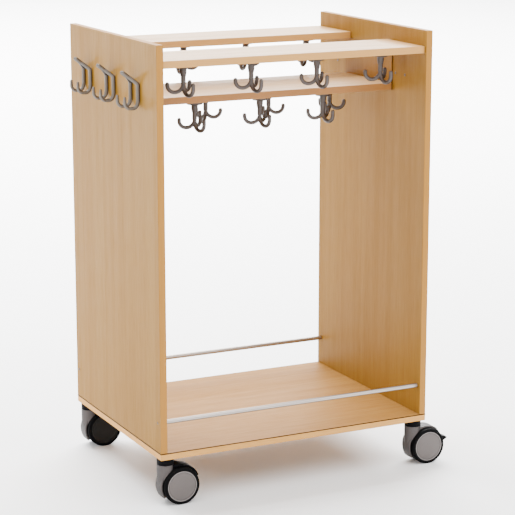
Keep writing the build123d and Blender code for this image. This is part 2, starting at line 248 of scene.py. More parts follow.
class SharedEffects:
    """Shader groups that more than one material uses."""

    def __init__(self) -> None:
        """Build each group once."""
        self.grain = self.build_grain()
        self.speckle = self.build_speckle()
        self.settling = self.build_settling()

    @staticmethod
    def build_grain() -> bpy.types.NodeTree:
        """Wood grain: pores and streaks along the board, slow growth bands and a warm mottle.

        Returns:
            The group.
        """
        group = shader_group(
            "wood_grain",
            {
                "Vector": (VECTOR, None),
                "Face": (COLOUR, (0.6, 0.4, 0.2, 1)),
                "Streak": (COLOUR, (0.4, 0.25, 0.1, 1)),
                "Warm": (COLOUR, (0.6, 0.35, 0.15, 1)),
                "Pore Scale": (FLOAT, 420.0),
                "Band Scale": (FLOAT, 34.0),
                "Streak Strength": (FLOAT, 0.5),
                "Mottle Strength": (FLOAT, 0.3),
            },
            {"Color": COLOUR, "Height": FLOAT, "Sheen Mask": FLOAT},
        )
        start, end = group_ends(group)
        sketch = NodeSketch(group)
        vector = start.outputs["Vector"]
        pores = sketch.add(
            "ShaderNodeTexNoise",
            {"Vector": vector, "Scale": start.outputs["Pore Scale"], "Detail": 5.0, "Roughness": 0.62},
        )
        bands = sketch.add(
            "ShaderNodeTexNoise",
            {"Vector": vector, "Scale": start.outputs["Band Scale"], "Detail": 3.0, "Distortion": 0.6},
        )
        slow = sketch.add(
            "ShaderNodeTexNoise",
            {
                "Vector": vector,
                "Scale": sketch.sum_of("MULTIPLY", start.outputs["Band Scale"], 0.22),
                "Detail": 2.0,
            },
        )
        fine = sketch.spread(pores.outputs[0], 0.40, 0.66)
        wide = sketch.spread(bands.outputs[0], 0.38, 0.66)
        fine_share = sketch.sum_of("MULTIPLY", fine, 0.62)
        wide_share = sketch.sum_of("MULTIPLY", wide, 0.38)
        mixed = sketch.sum_of("ADD", fine_share, wide_share)
        shown = sketch.sum_of("MULTIPLY", mixed, start.outputs["Streak Strength"])
        streaked = sketch.blend(shown, start.outputs["Face"], start.outputs["Streak"])
        mottle = sketch.sum_of(
            "MULTIPLY", sketch.spread(slow.outputs[0], 0.36, 0.68), start.outputs["Mottle Strength"]
        )
        sketch.feed(sketch.blend(mottle, streaked, start.outputs["Warm"]), end.inputs["Color"])
        sketch.feed(sketch.sum_of("SUBTRACT", 1.0, mixed), end.inputs["Height"])
        sketch.feed(mixed, end.inputs["Sheen Mask"])
        return group

    @staticmethod
    def build_speckle() -> bpy.types.NodeTree:
        """Fine texture of moulded plastic and satin metal, with scuffs that change the gloss.

        Returns:
            The group.
        """
        group = shader_group(
            "fine_speckle",
            {
                "Vector": (VECTOR, None),
                "Base": (COLOUR, (0.2, 0.2, 0.2, 1)),
                "Scuff": (COLOUR, (0.4, 0.4, 0.4, 1)),
                "Speckle Scale": (FLOAT, 900.0),
                "Scuff Scale": (FLOAT, 60.0),
                "Scuff Amount": (FLOAT, 0.3),
                "Low Roughness": (FLOAT, 0.3),
                "High Roughness": (FLOAT, 0.5),
            },
            {"Color": COLOUR, "Roughness": FLOAT, "Height": FLOAT},
        )
        start, end = group_ends(group)
        sketch = NodeSketch(group)
        vector = start.outputs["Vector"]
        speckle = sketch.add(
            "ShaderNodeTexNoise",
            {"Vector": vector, "Scale": start.outputs["Speckle Scale"], "Detail": 2.0},
        )
        scuffs = sketch.add(
            "ShaderNodeTexNoise",
            {"Vector": vector, "Scale": start.outputs["Scuff Scale"], "Detail": 6.0, "Roughness": 0.7},
        )
        worn = sketch.spread(scuffs.outputs[0], 0.5, 0.75)
        amount = sketch.sum_of("MULTIPLY", worn, start.outputs["Scuff Amount"])
        worn = sketch.blend(amount, start.outputs["Base"], start.outputs["Scuff"])
        sketch.feed(worn, end.inputs["Color"])
        rough = sketch.add(
            "ShaderNodeMapRange",
            {
                "Value": scuffs.outputs[0],
                "From Min": 0.3,
                "From Max": 0.7,
                "To Min": start.outputs["Low Roughness"],
                "To Max": start.outputs["High Roughness"],
            },
        )
        sketch.feed(rough.outputs[0], end.inputs["Roughness"])
        sketch.feed(speckle.outputs[0], end.inputs["Height"])
        return group

    @staticmethod
    def build_settling() -> bpy.types.NodeTree:
        """Dust and handling that settle on faces that look up.

        Returns:
            The group.
        """
        group = shader_group(
            "settled_dust",
            {
                "Vector": (VECTOR, None),
                "Normal": (VECTOR, None),
                "Color": (COLOUR, (0.5, 0.5, 0.5, 1)),
                "Dust": (COLOUR, (0.7, 0.68, 0.64, 1)),
                "Amount": (FLOAT, 0.1),
            },
            {"Color": COLOUR, "Mask": FLOAT},
        )
        start, end = group_ends(group)
        sketch = NodeSketch(group)
        up = sketch.add("ShaderNodeSeparateXYZ", {0: start.outputs["Normal"]}).outputs["Z"]
        patches = sketch.add(
            "ShaderNodeTexNoise",
            {"Vector": start.outputs["Vector"], "Scale": 26.0, "Detail": 5.0, "Roughness": 0.6},
        )
        upward = sketch.spread(up, 0.35, 1.0)
        patchy = sketch.spread(patches.outputs[0], 0.3, 0.75)
        mask = sketch.sum_of("MULTIPLY", upward, patchy)
        amount = sketch.sum_of("MULTIPLY", mask, start.outputs["Amount"])
        settled = sketch.blend(amount, start.outputs["Color"], start.outputs["Dust"])
        sketch.feed(settled, end.inputs["Color"])
        sketch.feed(amount, end.inputs["Mask"])
        return group


def new_material(name: str) -> tuple[bpy.types.Material, NodeSketch, bpy.types.Node]:
    """Make a material with a Principled shader.

    Args:
        name: The material's name.

    Returns:
        The material, a sketch of its tree and the shader node.
    """
    material = bpy.data.materials.new(name)
    material.use_nodes = True
    shader = material.node_tree.nodes["Principled BSDF"]
    return material, NodeSketch(material.node_tree), shader


@dataclass(frozen=True)
class WoodFinish:
    """Clear-lacquered plywood with a paler or darker edge band; the darker edge of the middle board and the
    near-black edge of the end plates are painted shade.
    """

    name: str
    face: Colour
    streak: Colour
    warm: Colour
    edge: Colour
    grain: Grain
    side: FaceSide
    pore_scale: float = 420.0
    band_scale: float = 34.0
    streak_strength: float = 0.65
    mottle_strength: float = 0.3
    dust: float = 0.06
    roughness: tuple[float, float] = (0.42, 0.58)
    bump: float = 0.12
    specular: float = 0.16

    def material(self, effects: SharedEffects) -> bpy.types.Material:
        """Build the wood's material.

        Args:
            effects: The shared shader groups.

        Returns:
            The material.
        """
        material, sketch, shader = new_material(self.name)
        place = sketch.add("ShaderNodeTexCoord")
        spot = place.outputs["Object"]
        laid = sketch.add("ShaderNodeMapping", {"Vector": spot, "Scale": self.grain.value})
        grain = sketch.add("ShaderNodeGroup", node_tree=effects.grain)
        for label, value in (
            ("Vector", laid.outputs[0]),
            ("Face", self.face),
            ("Streak", self.streak),
            ("Warm", self.warm),
            ("Pore Scale", self.pore_scale),
            ("Band Scale", self.band_scale),
            ("Streak Strength", self.streak_strength),
            ("Mottle Strength", self.mottle_strength),
        ):
            sketch.feed(value, grain.inputs[label])
        broad = sketch.add(
            "ShaderNodeVectorMath",
            {0: place.outputs["Normal"], 1: self.side.value},
            operation="DOT_PRODUCT",
        )
        facing = sketch.sum_of("ABSOLUTE", broad.outputs["Value"])
        on_edge = sketch.spread(facing, 0.8, 0.5)
        shade = sketch.blend(grain.outputs["Sheen Mask"], self.edge, self.streak)
        banded = sketch.blend(sketch.sum_of("MULTIPLY", on_edge, 0.8), grain.outputs["Color"], shade)
        tinted = sketch.blend(sketch.sum_of("MULTIPLY", on_edge, 0.75), banded, self.edge)
        dusty = sketch.add("ShaderNodeGroup", node_tree=effects.settling)
        sketch.feed(spot, dusty.inputs["Vector"])
        sketch.feed(place.outputs["Normal"], dusty.inputs["Normal"])
        sketch.feed(tinted, dusty.inputs["Color"])
        sketch.feed(self.dust, dusty.inputs["Amount"])
        sketch.feed(dusty.outputs["Color"], shader.inputs["Base Color"])
        low, high = self.roughness
        gloss = sketch.spread(grain.outputs["Sheen Mask"], 0.0, 1.0, low, high)
        sketch.feed(gloss, shader.inputs["Roughness"])
        relief = sketch.add(
            "ShaderNodeBump", {"Height": grain.outputs["Height"], "Strength": self.bump, "Distance": 0.0004}
        )
        sketch.feed(relief.outputs[0], shader.inputs["Normal"])
        shader.inputs["Specular IOR Level"].default_value = self.specular
        return material


@dataclass(frozen=True)
class SatinFinish:
    """Plated metal, moulded plastic or rubber with fine texture and scuffs, and an optional rim colour that
    darkens faces turning away from the view as painted shade.
    """

    name: str
    base: Colour
    scuff: Colour
    metallic: float = 0.0
    roughness: tuple[float, float] = (0.3, 0.5)
    speckle_scale: float = 900.0
    scuff_scale: float = 60.0
    scuff_amount: float = 0.3
    stretch: tuple[float, float, float] = (1.0, 1.0, 1.0)
    dust: float = 0.05
    bump: float = 0.08
    bump_depth: float = 0.0002
    specular: float = 0.5
    # rim: colour blended in where faces turn away from the view, painted shade along round edges
    rim: Colour | None = None

    def material(self, effects: SharedEffects) -> bpy.types.Material:
        """Build the finish's material.

        Args:
            effects: The shared shader groups.

        Returns:
            The material.
        """
        material, sketch, shader = new_material(self.name)
        place = sketch.add("ShaderNodeTexCoord")
        spot = place.outputs["Object"]
        laid = sketch.add("ShaderNodeMapping", {"Vector": spot, "Scale": self.stretch})
        speckle = sketch.add("ShaderNodeGroup", node_tree=effects.speckle)
        for label, value in (
            ("Vector", laid.outputs[0]),
            ("Base", self.base),
            ("Scuff", self.scuff),
            ("Speckle Scale", self.speckle_scale),
            ("Scuff Scale", self.scuff_scale),
            ("Scuff Amount", self.scuff_amount),
            ("Low Roughness", self.roughness[0]),
            ("High Roughness", self.roughness[1]),
        ):
            sketch.feed(value, speckle.inputs[label])
        dusty = sketch.add("ShaderNodeGroup", node_tree=effects.settling)
        sketch.feed(spot, dusty.inputs["Vector"])
        sketch.feed(place.outputs["Normal"], dusty.inputs["Normal"])
        sketch.feed(speckle.outputs["Color"], dusty.inputs["Color"])
        sketch.feed(self.dust, dusty.inputs["Amount"])
        colour = dusty.outputs["Color"]
        # Painted shade: the rim colour darkens faces that turn away from the view, as on the silhouettes of
        # round wire and rods.
        if self.rim is not None:
            facing = sketch.add("ShaderNodeLayerWeight", {"Blend": 0.5})
            colour = sketch.blend(sketch.spread(facing.outputs["Facing"], 0.2, 0.7), colour, self.rim)
        sketch.feed(colour, shader.inputs["Base Color"])
        sketch.feed(speckle.outputs["Roughness"], shader.inputs["Roughness"])
        relief = sketch.add(
            "ShaderNodeBump",
            {"Height": speckle.outputs["Height"], "Strength": self.bump, "Distance": self.bump_depth},
        )
        sketch.feed(relief.outputs[0], shader.inputs["Normal"])
        shader.inputs["Metallic"].default_value = self.metallic
        shader.inputs["Specular IOR Level"].default_value = self.specular
        return material


class Palette:
    """Every finish of the rack, built once."""

    def __init__(self) -> None:
        """Build the shared groups and all materials."""
        effects = SharedEffects()
        self.panel_wood = WoodFinish(
            "panel_plywood",
            srgb(141, 103, 37),
            srgb(115, 78, 22),
            srgb(129, 88, 28),
            srgb(164, 116, 54),
            Grain.ALONG_Z,
            FaceSide.SIDEWAYS,
            dust=0.01,
            specular=0.05,
        ).material(effects)
        self.board_wood = WoodFinish(
            "shelf_plywood",
            srgb(192, 148, 88),
            srgb(158, 110, 54),
            srgb(170, 118, 60),
            srgb(192, 142, 78),
            Grain.ALONG_X,
            FaceSide.UPWARDS,
            roughness=(0.36, 0.5),
            specular=0.26,
        ).material(effects)
        # Painted light and shade: the middle board's face is paler than the top boards' as painted light
        # from above, and its edge is darkened as painted shade under the front board.
        self.middle_wood_lit_and_shaded = WoodFinish(
            "middle_shelf_plywood",
            srgb(190, 152, 102),
            srgb(162, 120, 68),
            srgb(170, 122, 68),
            srgb(158, 106, 52),
            Grain.ALONG_X,
            FaceSide.UPWARDS,
            roughness=(0.36, 0.5),
            specular=0.34,
        ).material(effects)
        self.base_wood = WoodFinish(
            "base_plywood",
            srgb(148, 106, 46),
            srgb(116, 76, 26),
            srgb(132, 88, 32),
            srgb(208, 154, 84),
            Grain.ALONG_X,
            FaceSide.UPWARDS,
            dust=0.01,
            roughness=(0.5, 0.64),
            specular=0.06,
        ).material(effects)
        # Painted shade: the near-black edge colour paints a shadow line along the end plates' narrow edges.
        self.plate_wood_shaded_edge = WoodFinish(
            "end_plate_plywood",
            srgb(134, 93, 29),
            srgb(114, 74, 19),
            srgb(124, 80, 23),
            srgb(66, 40, 16),
            Grain.ALONG_Z,
            FaceSide.SIDEWAYS,
            dust=0.01,
            specular=0.05,
        ).material(effects)
        # Painted shadow, partly a real joint: dark brown round the base board's upper edge; under the
        # panels it marks the joint, along the front and back it paints the shadow under the edge.
        self.joint_and_shadow_line = SatinFinish(
            "joint_and_shadow_line_brown",
            srgb(46, 26, 10),
            srgb(66, 40, 16),
            roughness=(0.5, 0.65),
            dust=0.0,
            specular=0.05,
        ).material(effects)
        self.rod_steel = SatinFinish(
            "rod_satin_steel",
            srgb(180, 172, 166),
            srgb(146, 138, 130),
            metallic=0.85,
            roughness=(0.28, 0.42),
            stretch=(0.05, 1.0, 1.0),
            # rim: painted shade on the rods' edges
            rim=srgb(96, 84, 74),
        ).material(effects)
        self.wire_nickel = SatinFinish(
            "wire_satin_nickel",
            srgb(106, 98, 90),
            srgb(84, 76, 68),
            metallic=0.35,
            roughness=(0.34, 0.46),
            dust=0.0,
            specular=0.25,
            # rim: painted shade on the wires' edges
            rim=srgb(22, 18, 14),
        ).material(effects)
        self.hook_metal = SatinFinish(
            "hook_satin_taupe",
            srgb(84, 77, 74),
            srgb(62, 56, 53),
            metallic=0.35,
            roughness=(0.38, 0.5),
            dust=0.0,
            specular=0.25,
            # rim: painted shade on the hooks' edges
            rim=srgb(38, 34, 32),
        ).material(effects)
        self.screw_steel = SatinFinish(
            "screw_zinc", srgb(104, 92, 80), srgb(70, 60, 50), metallic=0.6, roughness=(0.35, 0.5)
        ).material(effects)
        self.caster_black = SatinFinish(
            "caster_black_plastic",
            srgb(6, 6, 8),
            srgb(14, 14, 16),
            roughness=(0.42, 0.56),
            dust=0.01,
            specular=0.04,
        ).material(effects)
        self.caster_grey = SatinFinish(
            "caster_grey_plastic",
            srgb(74, 69, 68),
            srgb(86, 80, 78),
            roughness=(0.42, 0.55),
            dust=0.02,
            specular=0.2,
            # rim: painted shade on the housings' edges
            rim=srgb(44, 41, 41),
        ).material(effects)
        self.hub_grey = SatinFinish(
            "hub_grey_plastic",
            srgb(94, 88, 86),
            srgb(104, 97, 95),
            roughness=(0.4, 0.52),
            dust=0.02,
            specular=0.2,
        ).material(effects)
        # Painted highlight: the cap's raised rim gets this lighter grey in place of the light it would
        # catch.
        self.hub_rim_painted_highlight = SatinFinish(
            "hub_rim_plastic",
            srgb(126, 120, 118),
            srgb(134, 128, 125),
            roughness=(0.35, 0.48),
            dust=0.0,
            specular=0.35,
        ).material(effects)
        self.hub_dark = SatinFinish(
            "hub_dark_plastic",
            srgb(30, 28, 26),
            srgb(40, 37, 34),
            roughness=(0.42, 0.55),
            dust=0.0,
            specular=0.1,
        ).material(effects)
        self.tyre_black = SatinFinish(
            "tyre_black_rubber",
            srgb(6, 6, 7),
            srgb(14, 13, 13),
            roughness=(0.5, 0.7),
            dust=0.01,
            bump=0.2,
            specular=0.04,
        ).material(effects)
        self.floor = SatinFinish(
            "studio_floor",
            srgb(250, 250, 250),
            srgb(246, 246, 246),
            roughness=(0.8, 0.9),
            scuff_scale=2.0,
            dust=0.0,
            bump=0.0,
            specular=0.1,
        ).material(effects)


def geometry_tree(name: str, inputs: dict[str, tuple[str, object]]) -> bpy.types.NodeTree:
    """Make an empty geometry node tree that takes a mesh and named values.

    Args:
        name: The tree's name.
        inputs: Socket type and default value by input name.

    Returns:
        The tree, with its input and output nodes in place.
    """
    tree = bpy.data.node_groups.new(name, "GeometryNodeTree")
    tree.interface.new_socket(name="Geometry", in_out="INPUT", socket_type="NodeSocketGeometry")
    for label, (kind, default) in inputs.items():
        socket = tree.interface.new_socket(name=label, in_out="INPUT", socket_type=kind)
        if default is not None:
            socket.default_value = default
    tree.interface.new_socket(name="Geometry", in_out="OUTPUT", socket_type="NodeSocketGeometry")
    tree.nodes.new("NodeGroupInput")
    tree.nodes.new("NodeGroupOutput")
    return tree


def finish_tree(sketch: NodeSketch, shape: bpy.types.NodeSocket, material: bpy.types.NodeSocket) -> None:
    """End a geometry tree: real geometry and the finish.

    Args:
        sketch: Sketch of the tree.
        shape: The shape's socket.
        material: The material's socket.
    """
    real = sketch.add("GeometryNodeRealizeInstances", {"Geometry": shape})
    dressed = sketch.add("GeometryNodeSetMaterial", {"Geometry": real.outputs[0], "Material": material})
    sketch.feed(dressed.outputs[0], group_ends(sketch.tree)[1].inputs[0])


class WireTree:
    """Geometry nodes that bend and thicken a drawn line into round wire, with ball tips."""

    def __init__(self) -> None:
        """Build the tree."""
        self.tree = geometry_tree(
            "bent_wire",
            {
                "Wire Radius": (FLOAT, 0.004),
                "Bend Steps": ("NodeSocketInt", 10),
                "Wire Sides": ("NodeSocketInt", 24),
                "Place": (VECTOR, (0, 0, 0)),
                "Turn": (FLOAT, 0.0),
                "Finish": ("NodeSocketMaterial", None),
            },
        )
        start, _ = group_ends(self.tree)
        sketch = NodeSketch(self.tree)
        curve = sketch.add("GeometryNodeMeshToCurve", {"Mesh": start.outputs["Geometry"]})
        bend = sketch.add("GeometryNodeInputNamedAttribute", {"Name": "bend"}, data_type="FLOAT")
        rounded = sketch.add(
            "GeometryNodeFilletCurve",
            {
                "Curve": curve.outputs[0],
                "Count": start.outputs["Bend Steps"],
                "Radius": bend.outputs[0],
                "Limit Radius": True,
            },
            mode="POLY",
        )
        thick = sketch.add("GeometryNodeInputNamedAttribute", {"Name": "thick"}, data_type="FLOAT")
        profile = sketch.add(
            "GeometryNodeCurvePrimitiveCircle",
            {"Resolution": start.outputs["Wire Sides"], "Radius": start.outputs["Wire Radius"]},
            mode="RADIUS",
        )
        body = sketch.add(
            "GeometryNodeCurveToMesh",
            {
                "Curve": rounded.outputs[0],
                "Profile Curve": profile.outputs[0],
                "Scale": thick.outputs[0],
                "Fill Caps": True,
            },
        )
        ball = sketch.add(
            "GeometryNodeMeshUVSphere",
            {"Segments": start.outputs["Wire Sides"], "Rings": 12, "Radius": start.outputs["Wire Radius"]},
        )
        ends = sketch.add("GeometryNodeCurveEndpointSelection", {"Start Size": 1, "End Size": 1})
        tips = sketch.add(
            "GeometryNodeInstanceOnPoints",
            {
                "Points": rounded.outputs[0],
                "Selection": ends.outputs[0],
                "Instance": ball.outputs[0],
                "Scale": thick.outputs[0],
            },
        )
        whole = sketch.add("GeometryNodeJoinGeometry")
        sketch.feed(body.outputs[0], whole.inputs[0])
        sketch.feed(tips.outputs[0], whole.inputs[0])
        smooth = sketch.add(
            "GeometryNodeSetShadeSmooth", {"Geometry": whole.outputs[0], "Shade Smooth": True}
        )
        turn = sketch.add("ShaderNodeCombineXYZ", {"Z": start.outputs["Turn"]})
        placed = sketch.add(
            "GeometryNodeTransform",
            {
                "Geometry": smooth.outputs[0],
                "Translation": start.outputs["Place"],
                "Rotation": turn.outputs[0],
            },
        )
        finish_tree(sketch, placed.outputs[0], start.outputs["Finish"])


class RepeatTree:
    """Geometry nodes that set a made piece on every point of a drawn mesh, along its normal."""

    def __init__(self) -> None:
        """Build the tree."""
        self.tree = geometry_tree(
            "repeated_piece",
            {
                "Piece": ("NodeSocketObject", None),
                "Random Turn": (FLOAT, 0.0),
                "Seed": ("NodeSocketInt", 7),
                "Finish": ("NodeSocketMaterial", None),
            },
        )
        start, _ = group_ends(self.tree)
        sketch = NodeSketch(self.tree)
        piece = sketch.add(
            "GeometryNodeObjectInfo", {"Object": start.outputs["Piece"], "As Instance": True}
        )
        aim = sketch.add("GeometryNodeInputNamedAttribute", {"Name": "aim"}, data_type="FLOAT_VECTOR")
        aimed = sketch.add("FunctionNodeAlignRotationToVector", {"Vector": aim.outputs[0]}, axis="Z")
        chance = sketch.add("FunctionNodeRandomValue", {"Seed": start.outputs["Seed"]}, data_type="FLOAT")
        angle = sketch.sum_of("MULTIPLY", chance.outputs[1], start.outputs["Random Turn"])
        spin = sketch.add("ShaderNodeCombineXYZ", {"Z": angle})
        turned = sketch.add(
            "FunctionNodeRotateRotation",
            {"Rotation": aimed.outputs[0], "Rotate By": spin.outputs[0]},
            rotation_space="LOCAL",
        )
        copies = sketch.add(
            "GeometryNodeInstanceOnPoints",
            {
                "Points": start.outputs["Geometry"],
                "Instance": piece.outputs["Geometry"],
                "Rotation": turned.outputs[0],
            },
        )
        finish_tree(sketch, copies.outputs[0], start.outputs["Finish"])


def link_object(name: str, mesh: bpy.types.Mesh) -> bpy.types.Object:
    """Put a mesh into the scene as an object at the origin.

    Args:
        name: The object's name.
        mesh: Its mesh.

    Returns:
        The object.
    """
    made = bpy.data.objects.new(name, mesh)
    bpy.context.scene.collection.objects.link(made)
    return made


def grow(
    name: str, source: bpy.types.Mesh, tree: bpy.types.NodeTree, values: dict[str, object]
) -> bpy.types.Object:
    """Run a geometry tree over a drawn mesh and keep the result as a plain mesh.

    Args:
        name: The new piece's name.
        source: Points or lines that the tree starts from.
        tree: The geometry node tree.
        values: Input values by input name.

    Returns:
        The piece, with no modifier left on it.
    """
    made = link_object(name, source)
    modifier = made.modifiers.new("grow", "NODES")
    modifier.node_group = tree
    for item in tree.interface.items_tree:
        if item.item_type == "SOCKET" and item.in_out == "INPUT" and item.name in values:
            modifier[item.identifier] = values[item.name]
    bpy.context.view_layer.update()
    grown = bpy.data.meshes.new_from_object(made.evaluated_get(bpy.context.evaluated_depsgraph_get()))
    made.modifiers.clear()
    made.data = grown
    grown.name = name
    return made


def line_mesh(name: str, routes: list[list[tuple[float, ...]]]) -> bpy.types.Mesh:
    """Draw open lines as a mesh with a bend radius and a thickness at each point.

    Args:
        name: The mesh's name.
        routes: For each line its points as x, y, z, bend radius and thickness factor.

    Returns:
        The mesh.
    """
    mesh = bpy.data.meshes.new(name)
    points = [point for route in routes for point in route]
    edges = []
    first = 0
    for route in routes:
        edges += [(first + step, first + step + 1) for step in range(len(route) - 1)]
        first += len(route)
    mesh.from_pydata([point[:3] for point in points], edges, [])
    for label, place in (("bend", 3), ("thick", 4)):
        layer = mesh.attributes.new(label, "FLOAT", "POINT")
        layer.data.foreach_set("value", [point[place] for point in points])
    return mesh


def point_mesh(name: str, points: list[tuple[Vector, Vector]]) -> bpy.types.Mesh:
    """Draw loose points, each with the direction that a piece set there looks.

    Args:
        name: The mesh's name.
        points: Position and direction of each point.

    Returns:
        The mesh.
    """
    mesh = bpy.data.meshes.new(name)
    mesh.from_pydata([tuple(place) for place, _ in points], [], [])
    layer = mesh.attributes.new("aim", "FLOAT_VECTOR", "POINT")
    layer.data.foreach_set("vector", [value for _, aim in points for value in aim])
    return mesh


def round_corners(outline: list[tuple[float, float, float]], steps: int = 6) -> list[Point]:
    """Round the corners of an open outline.

    Args:
        outline: Points as two coordinates and the corner's radius.
        steps: Pieces that each rounded corner is made of.

    Returns:
        The outline's points with the corners as arcs.
    """
    result: list[Point] = []
    for number, (x, y, radius) in enumerate(outline):
        corner = Vector((x, y))
        if radius <= 0 or number in (0, len(outline) - 1):
            result.append((x, y))
            continue
        before = (Vector(outline[number - 1][:2]) - corner).normalized()
        after = (Vector(outline[number + 1][:2]) - corner).normalized()
        half = before.angle(after) / 2
        reach = radius / math.tan(half)
        centre = corner + (before + after).normalized() * (radius / math.sin(half))
        start = corner + before * reach - centre
        end = corner + after * reach - centre
        for step in range(steps + 1):
            spot = start.slerp(end, step / steps) if start.angle(end) > 1e-6 else start
            result.append(tuple(centre + spot.normalized() * radius))
    return result


def turned_mesh(
    name: str, profile: list[Point], centre: Vector, axis: Axis, steps: int = 96
) -> bpy.types.Mesh:
    """Turn a profile round an axis into a closed mesh.

    Args:
        name: The mesh's name.
        profile: Distance along the axis and radius of each point, from one end to the other.
        centre: Point on the axis that the profile is measured from.
        axis: The axis to turn about.
        steps: Pieces that a full turn is made of.

    Returns:
        The mesh, smooth except at sharp corners.
    """
    shape = bmesh.new()
    rings = []
    for step in range(steps):
        turn = math.tau * step / steps
        ring = []
        for along, radius in profile:
            if axis is Axis.Z:
                spot = Vector((radius * math.cos(turn), radius * math.sin(turn), along))
            else:
                spot = Vector((radius * math.cos(turn), along, radius * math.sin(turn)))
            ring.append(shape.verts.new(centre + spot))
        rings.append(ring)
    for number, ring in enumerate(rings):
        following = rings[(number + 1) % steps]
        for row in range(len(profile) - 1):
            shape.faces.new((ring[row], ring[row + 1], following[row + 1], following[row]))
    bmesh.ops.remove_doubles(shape, verts=shape.verts, dist=1e-6)
    bmesh.ops.dissolve_degenerate(shape, edges=shape.edges, dist=1e-7)
    bmesh.ops.recalc_face_normals(shape, faces=shape.faces)
    mesh = bpy.data.meshes.new(name)
    shape.to_mesh(mesh)
    shape.free()
    mesh.shade_smooth()
    mesh.set_sharp_from_angle(angle=math.radians(32))
    return mesh


class Assembly:
    """A group of pieces that is built and dressed together."""

    def __init__(self, palette: Palette) -> None:
        """Keep the finishes.

        Args:
            palette: Every finish of the rack.
        """
        self.palette = palette
        self.count = 0

    def dress_node(self, node: str, material: bpy.types.Material) -> None:
        """Give a CAD node its finish.

        Args:
            node: The node's name.
            material: The finish.
        """
        mesh = frame["nodes"][node].data
        mesh.materials.clear()
        mesh.materials.append(material)
        self.report(node, "keeps its CAD shape")

    def place(
        self,
        piece: bpy.types.Object,
        body: str,
        slot: str,
        material: bpy.types.Material | None = None,
        nodes: tuple[str, ...] = (),
    ) -> bpy.types.Object:
        """Fix a finished piece to its body, and hide the CAD nodes that it stands for.

        Args:
            piece: The piece, in its place.
            body: The CAD body that it moves with.
            slot: The record's material slot; not used.
            material: Its finish, unless it already has one.
            nodes: CAD nodes that the piece replaces.

        Returns:
            The piece.
        """
        if material is not None:
            piece.data.materials.clear()
            piece.data.materials.append(material)
            piece.data.polygons.foreach_set("material_index", [0] * len(piece.data.polygons))
        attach(piece, body)
        if nodes:
            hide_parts(*nodes)
        self.report(piece.name, f"rides on {body}")
        return piece

    def report(self, name: str, fact: str) -> None:
        """Log one piece.

        Args:
            name: The piece.
            fact: What is said of it.
        """
        self.count += 1
        LOG.info("%s: %s %s", type(self).__name__, name, fact)


class WoodFrame(Assembly):
    """Panels, boards, base and the two end plates."""

    line_proud: float = 0.3 * MM
    line_height: float = 2.6 * MM
    line_drop: float = 2.7 * MM

    def build(self) -> None:
        """Dress the wooden nodes."""
        for node in ("left_panel", "right_panel"):
            self.dress_node(node, self.palette.panel_wood)
        for node in ("front_top_board", "back_top_board"):
            self.dress_node(node, self.palette.board_wood)
        self.dress_node("middle_board", self.palette.middle_wood_lit_and_shaded)
        self.dress_node("base_board", self.palette.base_wood)
        self.dress_node("end_plates", self.palette.plate_wood_shaded_edge)
        self.joint_and_shadow_line()

    def joint_and_shadow_line(self) -> None:
        """Lay the dark line round the base board's upper edge: under the panels it marks the joint, along
        the front and back it is painted shadow under the edge.
        """
        low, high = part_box("base_board")
        proud = self.line_proud
        bottom = high.z - self.line_drop
        shape = bmesh.new()
        rings = []
        for level in (bottom, bottom + self.line_height):
            for grow_by in (-1 * MM, proud):
                corners = [(low.x, low.y), (high.x, low.y), (high.x, high.y), (low.x, high.y)]
                signs = [(-1, -1), (1, -1), (1, 1), (-1, 1)]
                ring = [
                    shape.verts.new((x + sx * grow_by, y + sy * grow_by, level))
                    for (x, y), (sx, sy) in zip(corners, signs)
                ]
                rings.append(ring)
        for first, second in ((0, 1), (1, 3), (3, 2), (2, 0)):
            for step in range(4):
                following = (step + 1) % 4
                one, other = rings[first], rings[second]
                shape.faces.new((one[step], one[following], other[following], other[step]))
        bmesh.ops.recalc_face_normals(shape, faces=shape.faces)
        mesh = bpy.data.meshes.new("base_glue_line")
        shape.to_mesh(mesh)
        shape.free()
        self.place(link_object("base_glue_line", mesh), "rack", "base_wood", self.palette.joint_and_shadow_line)


class ShoeRods(Assembly):
    """The two round rods over the base board."""

    end_inset: float = 0.2

    def build(self, wires: WireTree) -> None:
        """Make both rods from their CAD boxes.

        Args:
            wires: The tree that thickens a line into wire.
        """
        for node in ("front_rod", "rear_rod"):
            low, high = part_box(node)
            middle = (low + high) / 2
            radius = (high.z - low.z) / 2
            inset = radius * self.end_inset
            ends = [(x, middle.y, middle.z, 0.0, 1.0) for x in (low.x + inset, high.x - inset)]
            values = {
                "Wire Radius": radius,
                "Wire Sides": 40,
                "Bend Steps": 1,
                "Finish": self.palette.rod_steel,
            }
            rod = grow(node + "_round", line_mesh(node + "_line", [ends]), wires.tree, values)
            self.place(rod, "rack", "rod_steel", nodes=(node,))


@dataclass
class HookShape:
    """Sizes of one swivelling triple hook, in metres below the board's underside."""

    base_radius: float = 23.0 * MM
    base_height: float = 11.0 * MM
    boss_radius: float = 9.0 * MM
    boss_foot: float = 28.0 * MM
    shank_radius: float = 6.5 * MM
    shank_foot: float = 51.0 * MM
    arm_radius: float = 5.2 * MM
    arm_start: float = 42.0 * MM
    arm_bottom: float = 72.7 * MM
    arm_reach: float = 41.4 * MM
    arm_tip: float = 51.0 * MM
    inner_bend: float = 22.65 * MM
    outer_bend: float = 18.65 * MM
    drops: tuple[float, ...] = (0.0, 7.0 * MM, -2.0 * MM)


